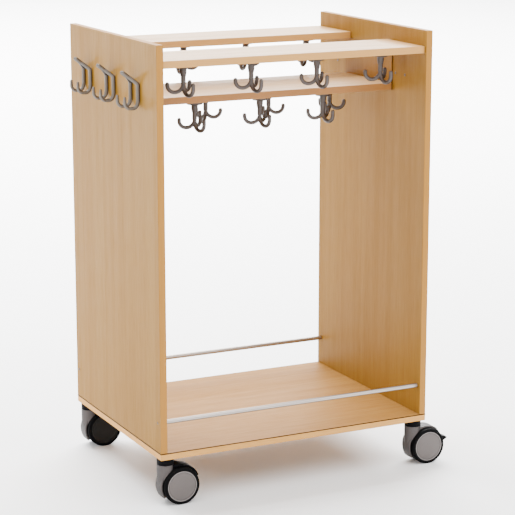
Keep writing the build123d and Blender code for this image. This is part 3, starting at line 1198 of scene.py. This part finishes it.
class TripleHooks(Assembly):
    """Swivelling triple hooks with their bases and screws."""

    def __init__(self, palette: Palette) -> None:
        """Keep the finishes and the hook's sizes.

        Args:
            palette: Every finish of the rack.
        """
        super().__init__(palette)
        self.shape = HookShape()
        self.swivels = [joint for joint in frame["joints"] if "_hook_" in joint["name"]]

    def underside(self, joint: dict[str, object]) -> Vector:
        """Find the point on the board's underside over one hook's swivel.

        Args:
            joint: The hook's joint.

        Returns:
            The point.
        """
        return Vector(joint["pos_m"]) + Vector((0, 0, self.shape.boss_foot))

    def turn_of(self, node: str, centre: Vector) -> float:
        """Angle of a hook's first arm, read from its CAD node.

        The second arm hangs lowest, so the node's lowest point lies on its heading.

        Args:
            node: The hook's node.
            centre: Point on the hook's axis.

        Returns:
            The angle in radians.
        """
        verts = frame["nodes"][node].data.vertices
        lowest = min(vert.co.z for vert in verts)
        foot = [vert.co - centre for vert in verts if vert.co.z < lowest + 0.1 * MM]
        heading = sum(foot, Vector((0, 0, 0)))
        return math.atan2(heading.y, heading.x) - math.tau / len(self.shape.drops)

    def arm_lines(self) -> bpy.types.Mesh:
        """Lay the lines of the three arms: down the shank, out and up to the tips.

        Returns:
            A mesh of lines.
        """
        shape = self.shape
        routes = []
        for arm, drop in enumerate(shape.drops):
            turn = math.tau * arm / len(shape.drops)
            bottom = -shape.arm_bottom - drop
            corners = (
                (0.0, -shape.arm_start, 0.0),
                (0.0, bottom, shape.inner_bend),
                (shape.arm_reach, bottom, shape.outer_bend),
                (shape.arm_reach, -shape.arm_tip, 0.0),
            )
            heading = (math.cos(turn), math.sin(turn))
            routes.append([(r * heading[0], r * heading[1], z, bend, 1.0) for r, z, bend in corners])
        return line_mesh("arm_lines", routes)

    def shank_mesh(self, centre: Vector) -> bpy.types.Mesh:
        """Turned shank with its swivel collar and rounded foot.

        Args:
            centre: Point on the board's underside over the hook.

        Returns:
            The mesh.
        """
        shape = self.shape
        collar = shape.shank_radius + 1.2 * MM
        top = -shape.boss_foot - 0.3 * MM
        profile = round_corners(
            [
                (top, 0.0, 0.0),
                (top, collar, 0.5 * MM),
                (top - 3.4 * MM, collar, 0.5 * MM),
                (top - 3.4 * MM, shape.shank_radius, 0.4 * MM),
                (-shape.shank_foot, shape.shank_radius, 2.0 * MM),
                (-shape.shank_foot - 3.0 * MM, 2.4 * MM, 1.0 * MM),
                (-shape.shank_foot - 3.0 * MM, 0.0, 0.0),
            ],
            4,
        )
        return turned_mesh("shank", profile, centre, Axis.Z, 40)

    def base_mesh(self) -> bpy.types.Mesh:
        """Turn the base disc with its boss, hanging from the origin.

        Returns:
            The mesh.
        """
        shape = self.shape
        lip = shape.base_height - 3.2 * MM
        profile = round_corners(
            [
                (0.0, 0.0, 0.0),
                (0.0, shape.base_radius, 0.3 * MM),
                (-lip, shape.base_radius, 1.4 * MM),
                (-shape.base_height, shape.base_radius - 3.4 * MM, 1.6 * MM),
                (-shape.base_height, shape.boss_radius + 1.4 * MM, 0.8 * MM),
                (-shape.base_height - 1.6 * MM, shape.boss_radius, 0.8 * MM),
                (-shape.boss_foot + 4.0 * MM, shape.boss_radius, 0.4 * MM),
                (-shape.boss_foot + 4.0 * MM, shape.boss_radius - 0.8 * MM, 0.3 * MM),
                (-shape.boss_foot, shape.boss_radius - 0.8 * MM, 0.8 * MM),
                (-shape.boss_foot, 0.0, 0.0),
            ],
            5,
        )
        return turned_mesh("hook_base_piece", profile, Vector((0, 0, 0)), Axis.Z, 64)

    def build(self, wires: WireTree, repeats: RepeatTree, screw: bpy.types.Object) -> None:
        """Make every hook, base and base screw.

        Args:
            wires: The tree that thickens a line into wire.
            repeats: The tree that repeats a piece.
            screw: A made screw head.
        """
        shape = self.shape
        places = [self.underside(joint) for joint in self.swivels]
        for joint, place in zip(self.swivels, places):
            node = joint["child"]
            values = {
                "Wire Radius": shape.arm_radius,
                "Bend Steps": 12,
                "Wire Sides": 20,
                "Place": tuple(place),
                "Turn": self.turn_of(node, place),
                "Finish": self.palette.hook_metal,
            }
            hook = grow(node + "_bent", self.arm_lines(), wires.tree, values)
            merge_meshes(hook.data, self.shank_mesh(place))
            self.place(hook, node, "hook_metal", self.palette.hook_metal, (node,))
        base = link_object("hook_base_piece", self.base_mesh())
        upright = Vector((0, 0, 1))
        values = {"Piece": base, "Finish": self.palette.hook_metal}
        points = point_mesh("base_points", [(place, upright) for place in places])
        rows = grow("hook_bases_turned", points, repeats.tree, values)
        self.place(rows, "rack", "hook_metal", nodes=("hook_bases",))
        bpy.data.objects.remove(base)
        self.screws(places, repeats, screw)

    def screws(self, places: list[Vector], repeats: RepeatTree, screw: bpy.types.Object) -> None:
        """Set the screws in each base disc.

        Args:
            places: Point on the board over each hook.
            repeats: The tree that repeats a piece.
            screw: A made screw head.
        """
        ring = (self.shape.base_radius + self.shape.boss_radius) / 2 - 0.6 * MM
        points = []
        for place in places:
            for step in range(len(self.shape.drops)):
                turn = math.tau * (step + 0.25) / len(self.shape.drops)
                spot = Vector((ring * math.cos(turn), ring * math.sin(turn), -self.shape.base_height))
                points.append((place + spot, Vector((0, 0, -1))))
        values = {"Piece": screw, "Random Turn": math.tau, "Seed": 11, "Finish": self.palette.screw_steel}
        heads = grow("hook_base_screws", point_mesh("screw_points", points), repeats.tree, values)
        self.place(heads, "rack", "hook_metal")


@dataclass
class WireHookShape:
    """Sizes of one double side hook, in metres: reach from the panel, and height over the run's middle."""

    radius: float = 4.8 * MM
    half_gap: float = 25.0 * MM
    tip_half_gap: float = 4.6 * MM
    run: tuple[float, float] = (-21.5 * MM, 21.5 * MM)
    join: Point = (22.0 * MM, 38.0 * MM)
    hat_tip: Point = (36.0 * MM, 49.0 * MM)
    elbow: Point = (8.4 * MM, -40.2 * MM)
    elbow_bend: float = 13.0 * MM
    bottom: Point = (40.6 * MM, -40.6 * MM)
    bottom_bend: float = 15.0 * MM
    coat_tip: Point = (41.0 * MM, -13.0 * MM)
    middle: float = 933.5 * MM
    tip_thinning: float = 0.72


class SideHooks(Assembly):
    """Bent wire double hooks on the panels' outer faces, and their screws."""

    pitch: float = 165.0 * MM
    rows: tuple[int, ...] = (-1, 0, 1)

    def build(self, wires: WireTree, repeats: RepeatTree, screw: bpy.types.Object) -> None:
        """Make both panels' hooks and the screws that hold them from inside.

        Args:
            wires: The tree that thickens a line into wire.
            repeats: The tree that repeats a piece.
            screw: A made screw head.
        """
        shape = WireHookShape()
        base_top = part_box("base_board")[1].z
        middle = base_top + shape.middle
        screw_points = []
        for panel, side in (("left", -1), ("right", 1)):
            low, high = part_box(panel + "_panel")
            outer = high.x if side > 0 else low.x
            inner = low.x if side > 0 else high.x
            routes = []
            for row in self.rows:
                for wire in (-1, 1):
                    centre = row * self.pitch
                    routes.append(self.route(shape, outer, side, centre, wire, middle))
                    spot = Vector((inner, centre + wire * shape.half_gap, middle))
                    screw_points.append((spot, Vector((-side, 0, 0))))
            values = {
                "Wire Radius": shape.radius,
                "Bend Steps": 8,
                "Wire Sides": 20,
                "Finish": self.palette.wire_nickel,
            }
            name = panel + "_side_hooks"
            hooks = grow(name + "_wire", line_mesh(name + "_line", routes), wires.tree, values)
            self.place(hooks, "rack", "wire_nickel", nodes=(name,))
        values = {"Piece": screw, "Random Turn": math.tau, "Seed": 5, "Finish": self.palette.screw_steel}
        spots = point_mesh("side_screw_points", screw_points)
        heads = grow("side_hook_screws", spots, repeats.tree, values)
        self.place(heads, "rack", "wire_nickel")

    @staticmethod
    def route(
        shape: WireHookShape, outer: float, side: int, centre: float, wire: int, middle: float
    ) -> list[tuple[float, ...]]:
        """Line of one wire from its coat hook's tip to the shared hat hook's tip.

        Args:
            shape: The hook's sizes.
            outer: X of the panel's outer face.
            side: Sign of X on this panel.
            centre: Y of the hook's middle.
            wire: Sign of the wire's own Y.
            middle: Height of the straight run's middle.

        Returns:
            Points with bend radius and thickness factor.
        """

        def spot(
            reach: float, apart: float, level: float, bend: float, thick: float = 1.0
        ) -> tuple[float, ...]:
            """Give one point of the line.

            Args:
                reach: Distance from the panel's face.
                apart: Distance from the hook's middle plane.
                level: Height over the straight run's middle.
                bend: Radius of the bend.
                thick: Share of the wire's radius.

            Returns:
                The point with its bend radius and thickness factor.
            """
            return (outer + side * reach, centre + wire * apart, middle + level, bend, thick)

        return [
            spot(shape.coat_tip[0], shape.half_gap, shape.coat_tip[1], 0.0, shape.tip_thinning),
            spot(shape.bottom[0], shape.half_gap, shape.bottom[1], shape.bottom_bend, 0.9),
            spot(shape.elbow[0], shape.half_gap, shape.elbow[1], shape.elbow_bend),
            spot(shape.radius, shape.half_gap, shape.run[0], 6 * MM),
            spot(shape.radius, shape.half_gap, shape.run[1], 6 * MM),
            spot(shape.join[0], shape.tip_half_gap, shape.join[1], 6 * MM),
            spot(shape.hat_tip[0], shape.tip_half_gap, shape.hat_tip[1], 0.0),
        ]


@dataclass
class CasterShape:
    """Sizes of one twin-wheel caster, in metres and degrees round the axle."""

    tyre_radius: float = 50.0 * MM
    hub_radius: float = 41.5 * MM
    shoulder: float = 3.6 * MM
    rim_width: float = 3.2 * MM
    rim_height: float = 0.9 * MM
    ring_height: float = 0.35 * MM
    groove: float = 0.9 * MM
    neck_radius: float = 22.8 * MM
    neck_foot: float = 62.0 * MM
    neck_gap: float = 0.3 * MM
    neck_steps: int = 72
    neck_rings: tuple[float, ...] = (0.0, 0.25, 0.5, 0.7, 0.85, 1.0)
    web_radius: float = 24.0 * MM
    web_half_width: float = 9.2 * MM
    fender_inner: float = 51.2 * MM
    fender_outer: float = 56.2 * MM
    fender_half_width: float = 19.0 * MM
    fender_foot: float = 214.0
    hood_end: float = 52.4
    cover_start: float = 120.0
    cover_crest: float = 64.0
    cover_end: float = 22.0
    cover_outer: float = 56.6 * MM
    cover_half_width: float = 19.0 * MM
    cover_peak: float = 33.0 * MM
    pedal_inner: float = 51.6 * MM
    pedal_outer: float = 54.8 * MM
    pedal_half_width: float = 13.0 * MM
    pedal_start: float = 49.0
    pedal_end: float = 8.0
    pedal_bead: float = 2.6 * MM
    tab_angle: float = 20.0
    tab_reach: float = 105.0 * MM
    tab_levels: Point = (59.5 * MM, 63.5 * MM)
    edge_round: float = 1.3 * MM
    web_round: float = 0.4 * MM
    pedal_round: float = 0.8 * MM
    long_arc: int = 40
    short_arc: int = 20
    wheel_steps: int = 128
    cap_step: float = 0.6 * MM
    back_recess: float = 1.5 * MM
    groove_depth: float = 2.16 * MM
    ring_share: float = 0.55


def arc(centre: Point, radius: float, first: float, last: float, steps: int) -> list[Point]:
    """Work out the points of an arc.

    Args:
        centre: The arc's centre.
        radius: The arc's radius.
        first: Angle of its first point, in degrees.
        last: Angle of its last point, in degrees.
        steps: Chords that the arc is made of.

    Returns:
        The points.
    """
    turns = [math.radians(first + (last - first) * step / steps) for step in range(steps + 1)]
    return [(centre[0] + radius * math.cos(turn), centre[1] + radius * math.sin(turn)) for turn in turns]


def rounded_prism(
    name: str, outline: list[Point], centre: Vector, half_width: float, edge: float
) -> bpy.types.Mesh:
    """Extrude an outline across the caster and round its two rims.

    Args:
        name: The mesh's name.
        outline: Closed outline as distances along X and heights.
        centre: Where the outline's own zero lies, on the caster's middle plane.
        half_width: Half of the width along Y.
        edge: Radius of the rounded rims.

    Returns:
        The mesh.
    """
    shape = bmesh.new()
    sides = []
    for side in (-1, 1):
        sides.append([shape.verts.new(centre + Vector((x, side * half_width, z))) for x, z in outline])
    count = len(outline)
    for step in range(count):
        following = (step + 1) % count
        shape.faces.new((sides[0][step], sides[0][following], sides[1][following], sides[1][step]))
    caps = [shape.faces.new(side) for side in sides]
    bmesh.ops.remove_doubles(shape, verts=shape.verts, dist=1e-6)
    bmesh.ops.recalc_face_normals(shape, faces=shape.faces)
    rims = list({rim for cap in caps if cap.is_valid for rim in cap.edges})
    bmesh.ops.bevel(
        shape, geom=rims, offset=edge, segments=3, profile=0.5, affect="EDGES", clamp_overlap=True
    )
    bmesh.ops.triangulate(shape, faces=[face for face in shape.faces if len(face.verts) > 4])
    mesh = bpy.data.meshes.new(name)
    shape.to_mesh(mesh)
    shape.free()
    mesh.shade_smooth()
    mesh.set_sharp_from_angle(angle=math.radians(34))
    return mesh


def merge_meshes(target: bpy.types.Mesh, *others: bpy.types.Mesh) -> None:
    """Add meshes to another mesh and remove them.

    Args:
        target: The mesh that grows.
        *others: The meshes that it takes in.
    """
    shape = bmesh.new()
    shape.from_mesh(target)
    for other in others:
        shape.from_mesh(other)
        bpy.data.meshes.remove(other)
    shape.to_mesh(target)
    shape.free()


class Casters(Assembly):
    """The four twin-wheel casters."""

    corners: tuple[str, ...] = ("front_left", "front_right", "rear_left", "rear_right")

    def __init__(self, palette: Palette) -> None:
        """Keep the finishes and the caster's sizes.

        Args:
            palette: Every finish of the rack.
        """
        super().__init__(palette)
        self.shape = CasterShape()
        self.joints = {joint["child"]: joint for joint in frame["joints"]}

    def build(self, repeats: RepeatTree) -> None:
        """Make collars, housings, covers, pedals and wheels.

        Args:
            repeats: The tree that repeats a piece.
        """
        for corner in self.corners:
            self.dress_node(corner + "_axle", self.palette.rod_steel)
            self.housing(corner)
            for wheel in ("outer", "inner"):
                self.wheel(corner, wheel)
        low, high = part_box("caster_collars")
        ring = link_object("collar_piece", self.collar_mesh(high.z - low.z))
        points = []
        for corner in self.corners:
            x, y, _ = self.joints[corner + "_caster"]["pos_m"]
            points.append((Vector((x, y, high.z)), Vector((0, 0, 1))))
        values = {"Piece": ring, "Finish": self.palette.caster_black}
        rings = grow("caster_collars_turned", point_mesh("collar_points", points), repeats.tree, values)
        self.place(rings, "rack", "caster_black", nodes=("caster_collars",))
        bpy.data.objects.remove(ring)

    def housing(self, corner: str) -> None:
        """Make one caster's housing with its cover or brake pedal.

        Args:
            corner: The caster's corner.
        """
        shape = self.shape
        x, y, _ = self.joints[corner + "_caster"]["pos_m"]
        stem = Vector((x, y, 0))
        braked = corner + "_pedal" in frame["nodes"]
        trail = self.joints[corner + "_outer_wheel"]["pos_m"][0] - x
        hub = (trail, shape.tyre_radius)
        hood_end = shape.hood_end if braked else shape.cover_start
        name = corner + "_housing"
        band = arc(hub, shape.fender_inner, hood_end, shape.fender_foot, shape.long_arc)
        band += arc(hub, shape.fender_outer, shape.fender_foot, hood_end, shape.long_arc)
        shell = rounded_prism(name + "_shell", band, stem, shape.fender_half_width, shape.edge_round)
        web = arc(hub, shape.fender_inner, shape.cover_end, shape.fender_foot, shape.long_arc)
        web += arc(hub, shape.web_radius, shape.fender_foot, 360 + shape.cover_end, shape.short_arc)
        body = rounded_prism("web", web, stem, shape.web_half_width, shape.web_round)
        merge_meshes(shell, body, self.neck_mesh(stem, hub))
        made = link_object(name + "_shell", shell)
        self.place(made, corner + "_caster", "caster_grey", self.palette.caster_grey, (name,))
        if braked:
            self.pedal(corner, stem, hub)
        else:
            self.cover(corner, stem, hub)

    def neck_mesh(self, stem: Vector, hub: Point) -> bpy.types.Mesh:
        """Round neck under the collar, hollowed by the wheels' circle.

        Args:
            stem: Foot of the swivel axis.
            hub: The axle's place on the caster's middle plane.

        Returns:
            The mesh.
        """
        shape = self.shape
        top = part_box("caster_collars")[0].z - shape.neck_gap
        steps = shape.neck_steps

        def foot(x: float) -> float:
            """Find the neck's underside.

            Args:
                x: Distance along X from the swivel axis.

            Returns:
                Height of the underside there.
            """
            reach = shape.fender_inner**2 - (x - hub[0]) ** 2
            return max(shape.neck_foot, hub[1] + math.sqrt(reach)) if reach > 0 else shape.neck_foot

        mesh = bmesh.new()
        below, above = [], []
        for share in shape.neck_rings:
            row_low, row_high = [], []
            for step in range(steps):
                turn = math.tau * step / steps
                x = shape.neck_radius * share * math.cos(turn)
                y = shape.neck_radius * share * math.sin(turn)
                row_low.append(mesh.verts.new(stem + Vector((x, y, foot(x)))))
                row_high.append(mesh.verts.new(stem + Vector((x, y, top))))
            below.append(row_low)
            above.append(row_high)
        for rows in (below, above):
            for first, second in zip(rows, rows[1:]):
                for step in range(steps):
                    following = (step + 1) % steps
                    mesh.faces.new((first[step], first[following], second[following], second[step]))
        for step in range(steps):
            following = (step + 1) % steps
            mesh.faces.new((below[-1][step], below[-1][following], above[-1][following], above[-1][step]))
        bmesh.ops.remove_doubles(mesh, verts=mesh.verts, dist=1e-6)
        bmesh.ops.dissolve_degenerate(mesh, edges=mesh.edges, dist=1e-7)
        bmesh.ops.recalc_face_normals(mesh, faces=mesh.faces)
        made = bpy.data.meshes.new("neck")
        mesh.to_mesh(made)
        mesh.free()
        made.shade_smooth()
        made.set_sharp_from_angle(angle=math.radians(34))
        return made

    def cover(self, corner: str, stem: Vector, hub: Point) -> None:
        """Make the black cover behind one caster's neck.

        Args:
            corner: The caster's corner.
            stem: Foot of the swivel axis.
            hub: The axle's place on the caster's middle plane.
        """
        shape = self.shape
        name = corner + "_cover"
        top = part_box(name)[1].z
        outline = arc(hub, shape.fender_inner, shape.cover_start, shape.cover_end, 32)
        outline += arc(hub, shape.cover_outer, shape.cover_end, shape.cover_crest, 16)
        outline += [(shape.cover_peak, top), (outline[0][0], top)]
        mesh = rounded_prism(name + "_moulded", outline, stem, shape.cover_half_width, shape.edge_round)
        made = link_object(name + "_moulded", mesh)
        self.place(made, corner + "_caster", "caster_black", self.palette.caster_black, (name,))

    def pedal(self, corner: str, stem: Vector, hub: Point) -> None:
        """Make one caster's brake pedal.

        Args:
            corner: The caster's corner.
            stem: Foot of the swivel axis.
            hub: The axle's place on the caster's middle plane.
        """
        shape = self.shape
        name = corner + "_pedal"
        reach = shape.pedal_inner + shape.pedal_bead
        bead = arc(hub, reach, shape.pedal_start, shape.pedal_start, 1)[0]
        tab = arc(hub, shape.pedal_outer, shape.tab_angle, shape.tab_angle, 1)[0]
        low, high = shape.tab_levels
        outline = arc(hub, shape.pedal_inner, shape.pedal_start - 4, shape.pedal_end, 16)
        outline += arc(hub, shape.pedal_inner, shape.pedal_end, 0.0, 2)[1:]
        outline += [(shape.tab_reach, low), (shape.tab_reach, high), tab]
        outline += arc(hub, shape.pedal_outer, shape.tab_angle, shape.pedal_start - 1, 12)[1:]
        outline += arc(bead, shape.pedal_bead, shape.pedal_start, shape.pedal_start + 180, 8)
        mesh = rounded_prism(
            name + "_moulded", outline, stem, shape.pedal_half_width, shape.pedal_round
        )
        made = link_object(name + "_moulded", mesh)
        self.place(made, name, "caster_black", self.palette.caster_black, (name,))

    def collar_mesh(self, height: float) -> bpy.types.Mesh:
        """Turned collar hanging from the origin.

        Args:
            height: Height of the collar.

        Returns:
            The mesh.
        """
        radius = self.shape.neck_radius
        profile = round_corners(
            [
                (0.0, 0.0, 0.0),
                (0.0, radius - 1.2 * MM, 0.4 * MM),
                (-4.0 * MM, radius, 1.5 * MM),
                (-height, radius, 1.6 * MM),
                (-height, 0.0, 0.0),
            ]
        )
        return turned_mesh("collar_piece", profile, Vector((0, 0, 0)), Axis.Z)

    def wheel(self, corner: str, wheel: str) -> None:
        """Make one wheel's tyre and hub.

        Args:
            corner: The caster's corner.
            wheel: Which of the twin wheels.
        """
        shape = self.shape
        stem = f"{corner}_{wheel}"
        body = stem + "_wheel"
        place = self.joints[body]["pos_m"]
        low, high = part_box(stem + "_tyre")
        outward = 1 if place[1] > self.joints[corner + "_caster"]["pos_m"][1] else -1
        centre = Vector((place[0], high.y if outward > 0 else low.y, place[2]))
        width = high.y - low.y
        tyre_profile = round_corners(
            [
                (-0.2 * MM, shape.hub_radius, 0.0),
                (0.0, shape.hub_radius + 0.4 * MM, 0.0),
                (0.0, shape.tyre_radius, shape.shoulder),
                (-width, shape.tyre_radius, shape.shoulder),
                (-width, shape.hub_radius, 0.0),
                (-0.2 * MM, shape.hub_radius, 0.0),
            ]
        )
        rim = shape.hub_radius - shape.rim_width
        hub_profile = round_corners(
            [
                (-shape.rim_height, 0.0, 0.0),
                (-shape.rim_height, rim - shape.groove, 0.2 * MM),
                (-shape.groove_depth, rim - shape.groove * 0.7, 0.0),
                (-shape.groove_depth, rim - 0.1 * MM, 0.0),
                (-shape.ring_height, rim + shape.cap_step, shape.cap_step),
                (-shape.ring_height, shape.hub_radius, 0.5 * MM),
                (-width + shape.back_recess, shape.hub_radius, 0.4 * MM),
                (-width + shape.back_recess, 0.0, 0.0),
            ]
        )
        cap = self.palette.hub_grey if wheel == "outer" else self.palette.hub_dark
        for piece, profile, material, slot in (
            ("tyre", tyre_profile, self.palette.tyre_black, "tyre_black"),
            ("hub", hub_profile, cap, "hub_grey"),
        ):
            aimed = [(along * outward, radius) for along, radius in profile]
            node = f"{stem}_{piece}"
            mesh = turned_mesh(node + "_turned", aimed, centre, Axis.Y, shape.wheel_steps)
            self.place(link_object(node + "_turned", mesh), body, slot, material, (node,))
        # The outer wheels get a lighter rim ring as a painted highlight on the cap's raised rim.
        if wheel == "outer":
            ring = self.rim_ring(stem, centre, outward, rim)
            self.place(ring, body, "hub_grey", self.palette.hub_rim_painted_highlight)

    def rim_ring(self, stem: str, centre: Vector, outward: int, radius: float) -> bpy.types.Object:
        """Make the raised rim of one wheel's cap, in a lighter grey as a painted highlight.

        Args:
            stem: First part of the wheel's names.
            centre: Where the axle leaves the wheel's outer face.
            outward: Sign of Y towards the cap's face.
            radius: Inner radius of the rim.

        Returns:
            The ring.
        """
        shape = self.shape
        inner = radius + shape.cap_step
        outer = inner + shape.rim_width * shape.ring_share
        foot = -3.0 * shape.ring_height
        profile = round_corners(
            [
                (foot, inner, 0.0),
                (0.0, inner, 0.3 * MM),
                (0.0, outer, 0.3 * MM),
                (foot, outer, 0.0),
                (foot, inner, 0.0),
            ]
        )
        aimed = [(along * outward, reach) for along, reach in profile]
        name = stem + "_hub_rim"
        return link_object(name, turned_mesh(name, aimed, centre, Axis.Y, shape.wheel_steps))


class Fixings(Assembly):
    """Screw heads that hold the rods through the panels."""

    @staticmethod
    def screw_head(radius: float, height: float) -> bpy.types.Object:
        """A low round screw head with a cross recess, looking along +Z from the origin.

        Args:
            radius: Radius of the head.
            height: How far the head stands out.

        Returns:
            The head, to be repeated and then removed.
        """
        profile = round_corners(
            [
                (0.0, radius, 0.0),
                (height * 0.35, radius, height * 0.2),
                (height, radius * 0.72, height * 0.4),
                (height, radius * 0.42, 0.0),
                (height * 0.25, radius * 0.16, 0.0),
                (height * 0.2, 0.0, 0.0),
            ],
            3,
        )
        mesh = turned_mesh("screw_piece", profile, Vector((0, 0, 0)), Axis.Z, 16)
        return link_object("screw_piece", mesh)

    def build(self, repeats: RepeatTree, screw: bpy.types.Object) -> None:
        """Set the rods' screws in the panels' outer faces.

        Args:
            repeats: The tree that repeats a piece.
            screw: A made screw head.
        """
        points = []
        for panel, side in (("left_panel", -1), ("right_panel", 1)):
            low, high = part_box(panel)
            outer = high.x if side > 0 else low.x
            for rod in ("front_rod", "rear_rod"):
                foot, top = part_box(rod)
                middle = (foot + top) / 2
                points.append((Vector((outer, middle.y, middle.z)), Vector((side, 0, 0))))
        values = {"Piece": screw, "Random Turn": math.tau, "Seed": 3, "Finish": self.palette.screw_steel}
        heads = grow("rod_screws", point_mesh("rod_screw_points", points), repeats.tree, values)
        self.place(heads, "rack", "rod_steel")


@dataclass
class Studio:
    """Floor, soft light and the camera at the photograph's angle."""

    azimuth: float = math.radians(-26.25)
    elevation: float = math.radians(12.77)
    lens: float = 134.42
    camera_place: tuple[float, float, float] = (-2.282, -4.684, 1.751)
    floor_half: float = 30.0
    sky: float = 1.5

    def build(self, palette: Palette) -> None:
        """Make the floor, the light and the camera.

        Args:
            palette: Every finish of the rack.
        """
        half = self.floor_half
        mesh = bpy.data.meshes.new("studio_floor")
        corners = [(-half, -half, 0), (half, -half, 0), (half, half, 0), (-half, half, 0)]
        mesh.from_pydata(corners, [], [(0, 1, 2, 3)])
        floor = link_object("studio_floor", mesh)
        mesh.materials.append(palette.floor)
        self.lights()
        self.camera()

    def lights(self) -> None:
        """White surroundings, a large soft key overhead and a weak fill."""
        world = bpy.data.worlds.new("studio")
        world.use_nodes = True
        background = world.node_tree.nodes["Background"]
        background.inputs["Color"].default_value = (1.0, 1.0, 1.0, 1.0)
        background.inputs["Strength"].default_value = self.sky
        bpy.context.scene.world = world
        self.area("key", Vector((0.8, -2.6, 3.8)), 3.2, 160.0)
        self.area("fill", Vector((-3.4, -1.6, 2.0)), 2.6, 20.0)
        self.area("graze", Vector((-2.3, 3.2, 0.95)), 0.6, 40.0, Vector((-0.4, 0.0, 1.05)))
        self.area("backdrop", Vector((2.5, 8.5, 6.0)), 12.0, 9000.0, Vector((2.5, 8.5, 0.0)))

    @staticmethod
    def area(
        name: str, place: Vector, size: float, power: float, target: Vector = Vector((0, 0, 0.7))
    ) -> None:
        """Hang a square area light.

        Args:
            name: The light's name.
            place: Where it hangs.
            size: Its side.
            power: Its power in watts.
            target: The point that it looks at.
        """
        data = bpy.data.lights.new(name, "AREA")
        data.size = size
        data.energy = power
        light = bpy.data.objects.new(name, data)
        bpy.context.scene.collection.objects.link(light)
        light.location = place
        light.rotation_euler = (target - place).to_track_quat("-Z", "Y").to_euler()

    def camera(self) -> None:
        """Set the camera at the photograph's angle."""
        data = bpy.data.cameras.new("camera")
        data.lens = self.lens
        data.clip_end = 100.0
        camera = bpy.data.objects.new("camera", data)
        bpy.context.scene.collection.objects.link(camera)
        camera.location = self.camera_place
        turn = Matrix.Rotation(self.azimuth, 4, "Z") @ Matrix.Rotation(math.pi / 2 - self.elevation, 4, "X")
        camera.rotation_euler = turn.to_euler()
        bpy.context.scene.camera = camera


def main() -> None:
    """Build the rack's looks in order and report each piece."""
    logging.basicConfig(level=logging.INFO, format="%(message)s")
    palette = Palette()
    Studio().build(palette)
    wires = WireTree()
    repeats = RepeatTree()
    fixings = Fixings(palette)
    screw = fixings.screw_head(3.6 * MM, 1.6 * MM)
    WoodFrame(palette).build()
    ShoeRods(palette).build(wires)
    TripleHooks(palette).build(wires, repeats, screw)
    SideHooks(palette).build(wires, repeats, screw)
    Casters(palette).build(repeats)
    fixings.build(repeats, screw)
    bpy.data.objects.remove(screw)


if __name__ == "__main__":
    main()
